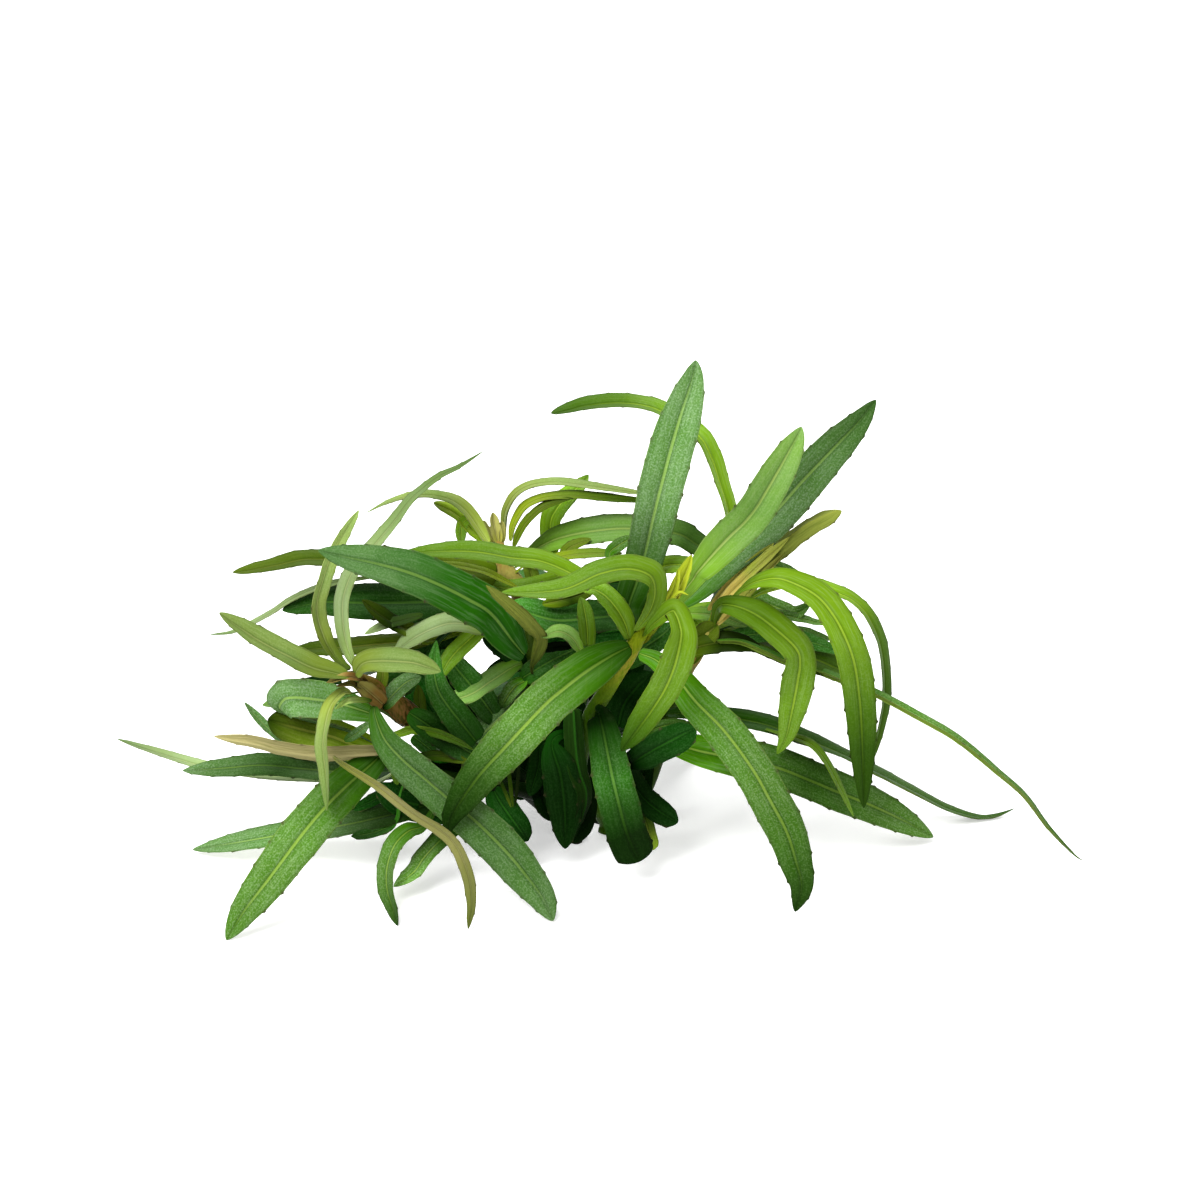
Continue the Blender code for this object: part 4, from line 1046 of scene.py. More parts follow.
REAR_LEAVES = (
    Leaf("rear_thin_arch", ((-16.1, 53.5, 17), (-16.1, 57.7, 17), (-15.3, 60, 17), (-14.1, 61.6, 17.2),
         (-12.4, 62.7, 17.5), (-10.2, 63.3, 17.8), (-6.7, 63.5, 18), (-0.5, 62.7, 18), (4, 62, 18),
         (8.6, 61.3, 18)), 2.8, -60, Look.SOFT, fold=20, blunt=5, tone=(0.76, 1.27, 1.26)),
    Leaf("rear_left_arch", ((-18.3, 53, 12), (-19, 54.2, 12), (-20.6, 56.7, 12), (-22.1, 58.7, 12),
         (-24, 60.2, 11.5), (-26, 61, 11), (-28.4, 61.4, 11), (-31, 61.3, 10), (-33.4, 60.8, 9.5),
         (-36, 59.8, 9), (-39, 58.2, 8)),
         4.2, 60, Look.SOFT, fold=20, widest=0.25, blunt=1.2, tone=(2.6, 1.46, 0.74, 1.13, 0.89)),
    Leaf("rear_bright_leaf", ((1.5, 44, 6), (-1.5, 46.5, 5), (-6, 49, 4), (-10, 50.5, 3), (-14.5, 51, 2),
         (-20.5, 52, 1), (-27, 52, 0), (-33.5, 51.5, -1)),
         5.5, 50, Look.BRIGHT, fold=15, tone=(1.98, 1, 0.83),
         stalk=((16.6, 37, 2), (11.5, 40.5, 2.5), (6.5, 42.5, 4.5))),
    Leaf("rear_grey_leaf", ((-12.5, 51.3, 17.5), (-10, 52.8, 17), (-7, 54.2, 16), (-1.5, 55.4, 15.5),
         (4.5, 55.9, 15), (12.5, 55.1, 15), (16, 53.3, 15), (19.3, 50.8, 14), (23, 48, 13)),
         7, -45, Look.PALE, base=0.25, tone=(0.9, 0.78, 0.82, 0.36, 0.34), stalk=((-16.2, 50, 13.6),)),
    Leaf("dark_broad_leaf", ((-12.5, 34.5, -1), (-14.5, 37, -4), (-18, 41.5, -8), (-22, 44, -10),
         (-27, 46.5, -11), (-32, 48.5, -11.5), (-37.5, 50, -12), (-42.5, 51, -12), (-47, 52, -12)),
         8.2, (25, 22), Look.BROAD, tone=(1.72, 1.34, 0.99, 0.98, 0.94)),
    Leaf("mid_pale_leaf", ((-13, 33.3, 1.5), (-15, 32.5, 1), (-18.5, 30.3, 0), (-21.5, 28.3, -1),
         (-25.6, 26.9, -2)), 5.3, 50, Look.PALE, fold=15, blunt=4, tone=(0.44, 0.97, 3.54)),
    Leaf("pale_tongue_leaf", ((-19.8, 39, 1), (-22.8, 40, 0.3), (-26, 39.9, -0.3), (-30.5, 38, -1),
         (-34.5, 35, -2)),
         5.6, 50, Look.SILVER, fold=15, base=0.55, tone=(1.1, 1.45, 1),
         stalk=((-11.4, 36, 5.4), (-15.5, 37.2, 3))),
    Leaf("behind_left_leaf", ((-20, 42, 8), (-26.5, 43.5, 7), (-33.5, 43.5, 6), (-39, 43.5, 5),
         (-46.5, 43.5, 4), (-53, 42, 3)),
         8, 38, Look.DEEP, tone=(0.72, 0.72, 0.78, 0.85), stalk=((-13, 43, 10), (-16.5, 43, 9.2))),
    Leaf("behind_olive_leaf", ((-33.5, 50.5, 6), (-46, 50.8, 5), (-50, 50.7, 4), (-54.5, 49.7, 3),
         (-61.3, 48.3, 2)),
         5.4, 58, Look.OLIVE, fold=15, blunt=3.6, tone=(0.61, 0.61, 0.83),
         stalk=((-17.5, 50, 12), (-26, 50.7, 8.5))),
    Leaf("rear_second_arch", ((-15, 53.5, 15.5), (-14.6, 56.2, 15.5), (-13, 59.1, 16),
         (-10.8, 60.5, 16.2), (-8.3, 61.1, 16.5), (-4.5, 61.3, 16.5), (-0.5, 61, 16.5), (5.7, 60.4, 16.5),
         (8.4, 60.1, 16.5)), 3, -58, Look.YOUNG, fold=20, blunt=5, tone=(1.3, 1, 0.49, 0.14)),
    Leaf("rear_brown_arch", ((-14.5, 52.5, 13.5), (-13.5, 55, 13.5), (-12.2, 57, 14), (-9.7, 59.2, 14.5),
         (-7, 60.2, 15), (-4.5, 60.7, 15)), 2.4, -50, Look.OLIVE, fold=20, tone=(1, 0.95, 0.44)),
    Leaf("rear_far_leaf", ((-8.3, 51.5, 20), (-8.4, 55.4, 20.5), (-7.9, 57.9, 21), (-5.8, 60.7, 21.5),
         (-3.2, 63, 22), (-1.9, 64.6, 22)),
         3.8, -15, Look.BRIGHT, fold=15, base=0.6, tone=(3.4, 3.6, 1.3),
         stalk=((-16.2, 50.2, 14), (-12, 50.8, 17.5))),
    Leaf("rear_low_arch", ((-18.5, 53, 14), (-20.8, 55, 14), (-23.3, 57.6, 14), (-25.5, 59, 13.5),
         (-27.8, 59.9, 13)), 3, 50, Look.OLIVE, fold=15, blunt=6, tone=(4.8, 4.2, 2.22)),
    Leaf("rear_hanging_leaf", ((-21.8, 57.4, 13.6), (-23, 56.2, 13.2), (-23.2, 53, 12.8)),
         2.1, 0, Look.BRIGHT, fold=15, base=0.7, teeth=0, tone=(2.45, 1.8)),
    Leaf("rear_line_leaf", ((-9, 50.4, 10), (-5, 51.3, 10), (-1, 51.6, 10), (3.8, 51.5, 10)),
         2.8, -50, Look.YOUNG, fold=15, tone=(0.95, 0.8, 0.65), stalk=((-15, 47.6, 12), (-12, 49.8, 11))),
    Leaf("rear_small_leaf", ((-7.2, 50.5, 12.5), (-5, 52.6, 12.5), (-1.5, 53.9, 12.5)),
         2.4, -40, Look.OLIVE, fold=15, stalk=((-15.5, 48.5, 12.6), (-11, 50.4, 12.8))),
    Leaf("behind_pale_leaf", ((-29.5, 41.3, 1.8), (-33, 40.4, 1.2), (-36, 39.6, 0.5), (-39.3, 38, -0.5)),
         2.2, 40, Look.SILVER, tone=(0.24, 0.22, 2.6)),
    Leaf("behind_fill_leaf", ((-22, 39.5, 7), (-27, 38.5, 6), (-31, 37, 6), (-34.5, 35.8, 6)),
         7.8, 30, Look.DEEP, base=0.7, tone=(1, 1.8)),
    Leaf("yellow_line_leaf", ((-14, 46, 4), (-18.2, 48.2, 3), (-20.7, 49, 2.5), (-24.5, 49.7, 2),
         (-27.5, 50, 1.5)),
         2.2, 60, Look.YOUNG, fold=15, tone=(1.8, 2, 2.7), stalk=((-13, 44, 10), (-13.4, 45.6, 7))),
    Leaf("olive_fold_leaf", ((-11.2, 33.2, -3.5), (-10, 37, -6.5), (-12, 40, -9.5), (-14.5, 42.4, -11.5),
         (-19, 46.2, -13.3)),
         3.4, 140, Look.OLIVE, fold=15, tone=(0.5, 1.2, 1.19),
         stalk=((-11.2, 31, 4.2), (-11.4, 32.2, -0.4))),
    Leaf("mid_bright_leaf", ((-18.5, 39.3, 1), (-20.4, 38.4, 0.5), (-22, 37, 0), (-24.2, 34.9, -1),
         (-25.8, 32.7, -2), (-26.6, 30.4, -2.5)),
         3.4, 15, Look.BRIGHT, fold=15, tone=(2.81, 1.93, 1.96),
         stalk=((-12, 38.6, 7.4), (-15.2, 39.6, 4))),
    Leaf("middle_cover_leaf", ((-12.8, 33.2, 3), (-16.3, 36, 3), (-19.6, 37.5, 3)),
         3.8, 0, Look.DARK, base=0.7, tone=1.2, stalk=((-11.2, 32.6, 5),)),
    Leaf("middle_wedge_leaf", ((-12.6, 33, 2.6), (-15.6, 32.8, 2.6), (-19.2, 30.9, 2.6)),
         3, 0, Look.DARK, base=0.8, tone=0.8, stalk=((-11.2, 32.2, 4.6),)),
    Leaf("mid_dark_leaf", ((-20.5, 20, -9.5), (-22.9, 23, -10), (-26.3, 27.5, -10), (-27.4, 30.4, -9.5),
         (-27.6, 33.4, -8), (-27.3, 37, -7)),
         5.2, 15, Look.DEEP, base=0.85, widest=0.3, blunt=1.4, tone=(0.39, 0.54, 0.87, 1.14, 1.82, 1.92)),
    Leaf("thin_hooked_leaf", ((-38.2, 47.5, 5), (-43.3, 46.9, 5), (-47.8, 45.6, 4.5), (-51.7, 43.8, 4),
         (-54.7, 41.8, 3.5), (-58.3, 39.8, 3), (-61.3, 38.4, 2.5), (-65.2, 37.9, 2)),
         2.2, 62, Look.SILVER, fold=15, tone=(0.65, 1.17, 0.61), stalk=((-18, 45.8, 9), (-29, 48, 7))),
    Leaf("behind_low_leaf", ((-30, 37, 3), (-34.7, 36.8, 3), (-41.5, 36.1, 3), (-47.5, 35.7, 2.5),
         (-52, 35.2, 2)),
         4.8, 50, Look.OLIVE, base=0.7, tone=(1.55, 0.8, 0.35), stalk=((-13, 41.5, 8.5), (-22, 40, 6))),
    Leaf("behind_small_leaf", ((-28, 37, 2), (-30.8, 38.4, 1.5), (-35, 40.4, 1), (-39.7, 43.7, 0)),
         3.8, 45, Look.OLIVE, tone=(2.83, 0.14, 0.83), stalk=((-12.5, 40, 7.5), (-21, 39, 5))),
    Leaf("middle_dark_leaf", ((-11, 30, 3), (-14.5, 26.2, 1.5), (-18.3, 22.7, 0), (-21.8, 19.4, -1)),
         6.2, 15, Look.BLUE, base=0.7, tone=(0.35, 1.5, 1.2)),
    Leaf("middle_narrow_leaf", ((-17, 23.5, 1), (-20.5, 28.2, 0.5), (-24.3, 32.8, 0), (-26.4, 35.4, 0)),
         5, 5, Look.DEEP, base=0.6, tone=(0.38, 2.76, 2.72)),
    Leaf("middle_shade_leaf", ((-18, 40, 5), (-22.5, 38, 4.5), (-27, 35.4, 4), (-30.5, 33, 3.5)),
         4.6, 30, Look.DEEP, base=0.6, tone=2, stalk=((-12.2, 40, 8.2),)),
    Leaf("middle_left_leaf", ((-26, 21.5, 2), (-28.5, 25.5, 1.5), (-31, 29.7, 1), (-33.2, 32.6, 0.5)),
         5.4, 10, Look.DARK, base=0.6, tone=5.4),
    Leaf("middle_olive_leaf", ((-29.7, 22.8, 0), (-30, 26, 0), (-30.3, 29.6, 0)),
         2.2, 0, Look.OLIVE, base=0.8, teeth=0, tone=0.55),
    Leaf("middle_hollow_leaf", ((-11, 34.5, 4.5), (-8.5, 36, 4.5), (-5, 37.2, 4.5), (-2, 37.4, 4)),
         6, 10, Look.DARK, base=0.7, tone=(2.29, 6.3)),
    Leaf("middle_strip_leaf", ((-9.5, 35.5, -0.5), (-7, 36, -0.5), (-4.3, 36, -0.5)),
         1.8, 20, Look.DARK, base=0.7, tone=0.1),
    Leaf("middle_curl_leaf", ((-12.2, 30.4, 2), (-14.2, 29.3, 1.4), (-15.7, 27.3, 0.8),
         (-16.5, 25.6, 0.4)), 2.8, 20, Look.MID, tone=(3.95, 2.07, 0.1)),
    Leaf("rear_gap_leaf", ((-17.2, 47.8, 6.5), (-20, 48.5, 6.2), (-24, 49.4, 6), (-28, 50.6, 5.5)),
         5.6, 30, Look.OLIVE, base=0.7, tone=(0.8, 1.1)),
    Leaf("rear_fill_leaf", ((-3, 48, 6), (-6.7, 47.2, 7), (-11.7, 46, 8), (-15.8, 45.8, 8.5),
         (-20, 46.6, 8.5)), 3.8, 30, Look.BRIGHT, base=0.7, tone=(2.55, 1.35, 1.5)),
    Leaf("rear_side_leaf", ((-10.6, 45, 10), (-11.4, 48, 11), (-12.4, 51, 12)),
         2.8, 20, Look.YOUNG, fold=20, base=0.7, teeth=0, tone=(0.6, 0.8)),
    Leaf("middle_fill_leaf", ((-13, 30.6, 2), (-9, 33, 1.5), (-5.5, 34.8, 1), (-2, 36.5, 1)),
         4.4, 20, Look.DEEP, base=0.7, tone=(1.93, 1.07, 2)),
    Leaf("middle_rear_leaf", ((-18.5, 21.5, 7), (-22, 26, 7), (-24.4, 29.8, 7), (-26.6, 33, 7)),
         5, 20, Look.DARK, base=0.7, tone=0.5),
    Leaf("rear_short_leaf", ((1.5, 51.4, 8.5), (3, 52.8, 8.5), (5.4, 54.2, 8.5)),
         2.4, -20, Look.MID, base=0.7, tone=0.97, stalk=((6.5, 39.5, -6), (4.5, 46, 2), (2.8, 49.5, 6))),
)

# The left shoot, which leans far out and carries the long front leaf
LEFT_STEM = Stem("left_stem", (-5.8, 1.2), (
    (-9, 10, 3), (-14, 14, -1), (-22, 18.5, -5), (-31, 23.9, -8), (-35, 26.8, -9), (-37, 28, -9.5),
    (-39.2, 29.6, -10.3), (-41, 30.6, -11)), 2, Bark.RED, (0.8, 0.9))
LEFT_BUD = Bud("left_bud", BUD_BROWN, (
    young_leaf("left_bud_a", ((-39.6, 30.6, -14), (-42, 31, -16.2), (-44, 30.5, -17),
               (-45.6, 29.9, -17.4)), 1.9, 30, 40, (0.72, 0.96, 1.2)),
    young_leaf("left_bud_b", ((-39.4, 29, -12), (-41.6, 29.8, -14.6), (-44, 29.3, -16.2)),
               1.6, 60, 40, (0.32, 0.48, 0.8)),
    young_leaf("left_bud_c", ((-38.4, 28.6, -11.4), (-40.2, 30.8, -12.6), (-42.6, 31.6, -14.4)),
               2, 10, 40, (0.48, 0.64, 0.8)),
    young_leaf("left_bud_d", ((-36, 26.2, -11.8), (-38, 28, -12.6), (-40.4, 30, -13.2)),
               3.4, 10, 30, (0.72, 0.8), base=0.7),
))
LEFT_LEAVES = (
    Leaf("left_pale_leaf", ((-41.6, 31, -15.5), (-44.5, 31.9, -16), (-48.2, 32.9, -16.3),
         (-52.7, 35.2, -16.5), (-57, 37.5, -16.5), (-60.2, 39.5, -16.5), (-63.5, 41.6, -16.5)),
         5.5, 45, Look.SOFT, fold=25, base=0.25, tone=(0.6, 0.85, 0.88), stalk=((-39.4, 29.6, -11),)),
    Leaf("left_inner_arch", ((-41.6, 32.2, -13), (-42.8, 33, -12.5), (-44.2, 34.7, -11.5),
         (-45.6, 37.2, -11), (-46.7, 40.6, -9.5), (-46.8, 43.5, -9), (-46, 46.5, -8), (-44.9, 50, -7),
         (-43, 54, -6), (-40.2, 58.7, -5)),
         4, 55, Look.SOFT, fold=20, blunt=4, tone=(0.31, 1.06, 2.24, 2.6)),
    Leaf("left_tall_leaf", ((-40.6, 32.4, -10.5), (-41.7, 34.3, -9.5), (-42.6, 37, -7.5),
         (-43.1, 40.5, -6), (-43, 44.3, -5), (-41.3, 48.7, -3), (-37.6, 53.2, 0), (-34.4, 57, 2),
         (-31.8, 60.4, 3.5), (-29.2, 62.7, 5), (-26.7, 64.5, 6), (-23.3, 66.1, 7), (-19.3, 68.6, 8)),
         4.4, -50, Look.SILVER, fold=15, widest=0.3, blunt=1.2,
         tone=(0.99, 1.16, 1.11, 0.76, 0.58, 0.41)),
    Leaf("left_short_leaf", ((-41, 31.5, -14.5), (-39.8, 33.2, -15), (-37.5, 33.8, -15.5),
         (-32, 33.6, -16), (-29, 32.8, -16), (-26.5, 31.8, -16)),
         5.6, (-45, -40), Look.SOFT, fold=15, base=0.5, tone=(0.77, 0.86, 0.87)),
    Leaf("left_hanging_leaf", ((-41.5, 28.5, -14), (-43, 28.5, -15), (-45, 26.5, -17.5),
         (-46, 23.5, -19.5), (-46.5, 19.5, -21), (-46, 14.5, -22.5), (-45.5, 8.5, -25)),
         4, 55, Look.SOFT, fold=20, tone=(1.6, 1.03, 0.72)),
    Leaf("left_front_leaf", ((-37.5, 26, -13), (-37.5, 24.5, -14), (-36, 20.5, -15.5), (-33, 17, -17),
         (-29, 13.5, -18.5), (-25.5, 10.5, -20), (-20.3, 6.2, -21.5), (-15.6, 1.5, -23),
         (-12.6, -2.1, -24.5), (-9.8, -5.8, -26.4), (-7.8, -9.8, -28)),
         7.5, (0, 20, 15, 5), Look.BLUE, fold=15, base=0.18, widest=0.6, blunt=3.2,
         tone=(0.85, 0.68, 0.84)),
    Leaf("left_folded_leaf", ((-37, 24.5, -9), (-43.5, 26.5, -11), (-48.8, 27.3, -12.5),
         (-51.6, 27.4, -12.8), (-53, 26.9, -11.8), (-53.4, 25.2, -10.8), (-49.2, 23.7, -10),
         (-43, 22, -8.5), (-37.5, 19.5, -7)),
         6.5, (30, 15, 0, -10, -10), Look.BLUE, fold=8, bent_back=True,
         tone=(3.65, 2.65, 1.42, 0.94, 0.95)),
    Leaf("left_node_leaf", ((-36.3, 25.7, -11.5), (-34.7, 28, -11.5), (-32.2, 30.2, -10.5),
         (-29.8, 31, -9)), 3.8, -35, Look.BLUE, fold=15, tone=(0.07, 2.15, 0.79)),
    Leaf("left_strip_leaf", ((-38, 27, -13.8), (-41.8, 27, -15.4), (-44.2, 25.5, -16.6)),
         1.6, 45, Look.SOFT, fold=15, tone=(0.14, 0.96, 5.75)),
    Leaf("left_tiny_leaf", ((-50, 26.9, -9), (-53, 26.9, -8.7), (-56.3, 26.2, -8.4)),
         2, 30, Look.PALE, teeth=0, tone=(0.58, 0.81, 0.91),
         stalk=((-40, 28.4, -10.6), (-46.5, 27.2, -9.4))),
    Leaf("left_dark_sliver", ((-43, 30, -8), (-46.3, 30.4, -8), (-50.2, 30, -8), (-53, 29.3, -8)),
         2.4, 55, Look.DARK, tone=(1.1, 0.5)),
    Leaf("left_under_leaf", ((-35.6, 18.8, -8), (-40.5, 19.4, -8.5), (-44.8, 21, -9), (-49.8, 22.2, -9.4),
         (-55.4, 23.8, -9.8)), 6.2, 15, Look.OLIVE, fold=8, base=0.25, blunt=6, tone=(2.43, 2.34, 0.26)),
    Leaf("left_grey_leaf", ((-42.6, 20.2, -12), (-40.4, 21.6, -12), (-38.2, 23.4, -12)),
         1.7, 0, Look.BLUE, tone=(1.35, 2.25)),
    Leaf("left_band_leaf", ((-32.4, 23, -8), (-34.7, 24.9, -9.6), (-36.8, 25.9, -10.6),
         (-38, 26.2, -11.2)), 2, 30, Look.SILVER, fold=15, base=0.7, tone=0.5),
    Leaf("left_small_leaf", ((-37.3, 28.3, -9.8), (-36.4, 30.3, -9.8), (-36.1, 33, -9.8)),
         2.2, 0, Look.OLIVE, fold=15, base=0.7, tone=(1.2, 1.5)),
    Leaf("left_shade_leaf", ((-36.5, 27.8, -7), (-33.5, 30, -7), (-30, 31.8, -6.5)),
         5.2, 10, Look.DEEP, base=0.6, tone=(0.4, 0.8)),
    Leaf("left_cover_leaf", ((-31.8, 24.9, -11.5), (-28, 22.4, -11), (-24, 19.7, -10),
         (-19.2, 16.8, -8.5)), 4.8, 0, Look.DEEP, base=0.5, tone=(0.72, 0.24, 1.54)),
    Leaf("left_back_leaf", ((-30, 33, 0), (-34, 33.6, 8), (-39, 32.6, 16), (-42, 30.6, 23)),
         6.5, 60, Look.DEEP, stalk=((-12.5, 41, 8.5), (-20, 41, 5), (-26, 38, 2))),
)

# The low left shoot, whose leaves spread over the surface
LOW_LEFT_STEM = Stem("low_left_stem", (-5.3, -3.1), (
    (-8.5, 10.3, -2), (-14, 12.3, -5), (-22, 13.4, -8.5), (-33, 15.5, -10), (-36, 17, -10)), 1.3,
    Bark.SHADED, (0.93,))
LOW_LEFT_LEAVES = (
    Leaf("low_far_leaf", ((-37.5, 13.4, -4), (-41.5, 13.7, -3.5), (-47.5, 14.3, -3), (-56, 14.8, -2),
         (-63.5, 15.7, -1), (-70.5, 17.5, 0), (-80.6, 20.6, 1)),
         5, 70, Look.SILVER, fold=15, tone=(1.6, 1.8, 0.61), stalk=((-33.5, 15.6, -9.6),)),
    Leaf("low_dark_leaf", ((-37, 14.6, -9), (-43.5, 15.3, -8.5), (-50, 15.9, -8), (-56, 16.4, -7.5),
         (-62.5, 15.9, -7), (-69.6, 15.3, -6)), 6, 50, Look.BLUE, base=0.8, tone=(1.2, 0.3, 1.15)),
    Leaf("low_tan_leaf", ((-36.8, 18.6, -13.5), (-40.5, 18.4, -14.5), (-43.5, 18.2, -15.2),
         (-47.5, 18.2, -15), (-53.5, 19.1, -15.5), (-57.5, 20.1, -15.5), (-64.4, 21, -15)),
         4.6, 125, Look.TAN, base=0.7, tone=(1.02, 1.21, 1.29, 1.75)),
    Leaf("low_strip_leaf", ((-44.5, 17.5, -17.5), (-42.5, 16, -19.5), (-37, 12.5, -22),
         (-31.5, 8.2, -24.5), (-26.2, 4.8, -26), (-24, 2.4, -27), (-22.7, -0.4, -28), (-21.9, -3, -28.5),
         (-21.6, -5, -29), (-21.5, -7.5, -30), (-22, -11.2, -30.8)),
         3.2, (55, 55, 35), Look.TAN, widest=0.6, tone=(1.15, 0.98, 0.84, 0.41)),
    Leaf("low_front_leaf", ((-36, 18.5, -12.5), (-38, 16.5, -14.5), (-42.5, 12.5, -18), (-46, 9, -22),
         (-49.4, 5, -25.5), (-52.8, 0.5, -28.5), (-55.8, -3.5, -30.5), (-59.4, -8.2, -32.5),
         (-62.3, -13, -34.2)), 7.4, 5, Look.MID, blunt=3, tone=(0.34, 1.37, 1.11)),
    Leaf("low_side_leaf", ((-27, 10.5, -7), (-34, 8.4, -8), (-43.5, 6.3, -8), (-51.5, 5.1, -7),
         (-60, 3.6, -6), (-68, 2.1, -4.2)),
         6.2, 50, Look.BLUE, base=0.75, tone=(0.13, 0.74, 1.77, 1.25), stalk=((-23.5, 13.6, -8.8),)),
    Leaf("low_narrow_leaf", ((-29.3, 6.4, -14.5), (-31.9, 5.4, -16.8), (-33.7, 3.9, -18.5),
         (-34.9, 2, -20), (-35.8, -1.3, -22.5), (-35.7, -4.6, -25), (-34.9, -7.2, -27),
         (-33.7, -10.6, -29.4)),
         4.4, 45, Look.MID, fold=15, base=0.5, blunt=3.2, tone=(0.67, 1.3, 0.9, 0.23),
         stalk=((-24.5, 13.8, -9), (-27, 10, -12.3))),
    Leaf("low_curved_leaf", ((-22.3, 7.8, -12), (-25.9, 4.6, -14.5), (-29.3, 1.1, -17),
         (-31.1, -1.5, -19), (-34.4, -4.1, -21)),
         4, 35, Look.MID, fold=15, tone=(0.52, 0.39, 1.7, 4), stalk=((-21.3, 13, -8.3),)),
    Leaf("low_sliver_leaf", ((-50, 17.5, -6), (-53.3, 20.7, -5.5), (-56.3, 23.4, -5), (-59.3, 26.7, -4)),
         2.4, 50, Look.BLUE, fold=15, tone=(0.3, 1.69, 1.44),
         stalk=((-36, 16.6, -9.8), (-43.5, 17.2, -8))),
    Leaf("low_ragged_leaf", ((-34, 7, -10), (-37.5, 5.2, -11.5), (-41.5, 4.3, -12)),
         3, 50, Look.DEEP, tone=(2.4, 0.6), stalk=((-32, 15, -9.8), (-33.5, 10.8, -9.8))),
    Leaf("low_inner_leaf", ((-36, 20.4, -9), (-33.3, 21.4, -10), (-31.2, 22, -11), (-27.5, 21.5, -12),
         (-24.5, 20.4, -12), (-21, 18.7, -11.5)), 2.4, 50, Look.BRIGHT, fold=15, tone=(3.71, 0.66, 0.69)),
    Leaf("low_fill_leaf", ((-31.2, 21, 6), (-29.4, 19.6, 6), (-27.3, 18, 6)),
         2.8, 20, Look.DEEP, base=0.6, tone=1.2),
    Leaf("low_inner_strip", ((-30, 15.5, -7), (-28.3, 16.5, -6.5), (-25.7, 17.5, -6), (-22, 17.5, -5)),
         3, 45, Look.SMOOTH, fold=15, tone=2),
    Leaf("low_behind_leaf", ((-29, 28, 0), (-27.5, 27, 0), (-25, 24, 0), (-22, 20, 0)),
         3.4, 30, Look.DARK, tone=(2, 2.6, 3)),
    Leaf("low_short_leaf", ((-30, 15, -5), (-32.3, 13.7, -5.5), (-36.8, 11, -5.5), (-42, 8.4, -5)),
         3, 40, Look.DARK, tone=(3, 3.6, 4.4)),
    Leaf("low_hanging_strip", ((-34.2, 16.3, -12.5), (-34, 14.5, -13), (-33.8, 12.9, -13.5)),
         1.6, 0, Look.BRIGHT, tone=0.8),
    Leaf("low_olive_leaf", ((-30.3, 17.6, -9.5), (-26, 17.7, -10), (-21.6, 16.6, -10)),
         2, 20, Look.OLIVE, base=0.6, tone=(0.05, 0.47, 0.91)),
    Leaf("low_shade_leaf", ((-18, 13.5, -5), (-23, 15.8, -5.5), (-28.5, 17.3, -6)),
         5, 20, Look.DARK, base=0.7, tone=0.3),
    Leaf("low_middle_leaf", ((-22, 9.5, -6), (-28, 9.3, -7), (-33.5, 10.5, -7.5), (-37.5, 12.8, -8)),
         6.4, 20, Look.DARK, base=0.7, tone=(1.7, 1.91, 4.19)),
    Leaf("low_back_leaf", ((-22, 14, -2), (-29, 15.4, 5), (-36, 15.4, 12), (-42, 13.8, 18)),
         6.5, 60, Look.DEEP, tone=(0.2, 0.5)),
    Leaf("low_hidden_leaf", ((-10, 16, 9), (-17, 18.5, 15), (-23.5, 19.8, 21), (-28, 19.4, 26)),
         6.5, 60, Look.DEEP, tone=(0.2, 0.5)),
)

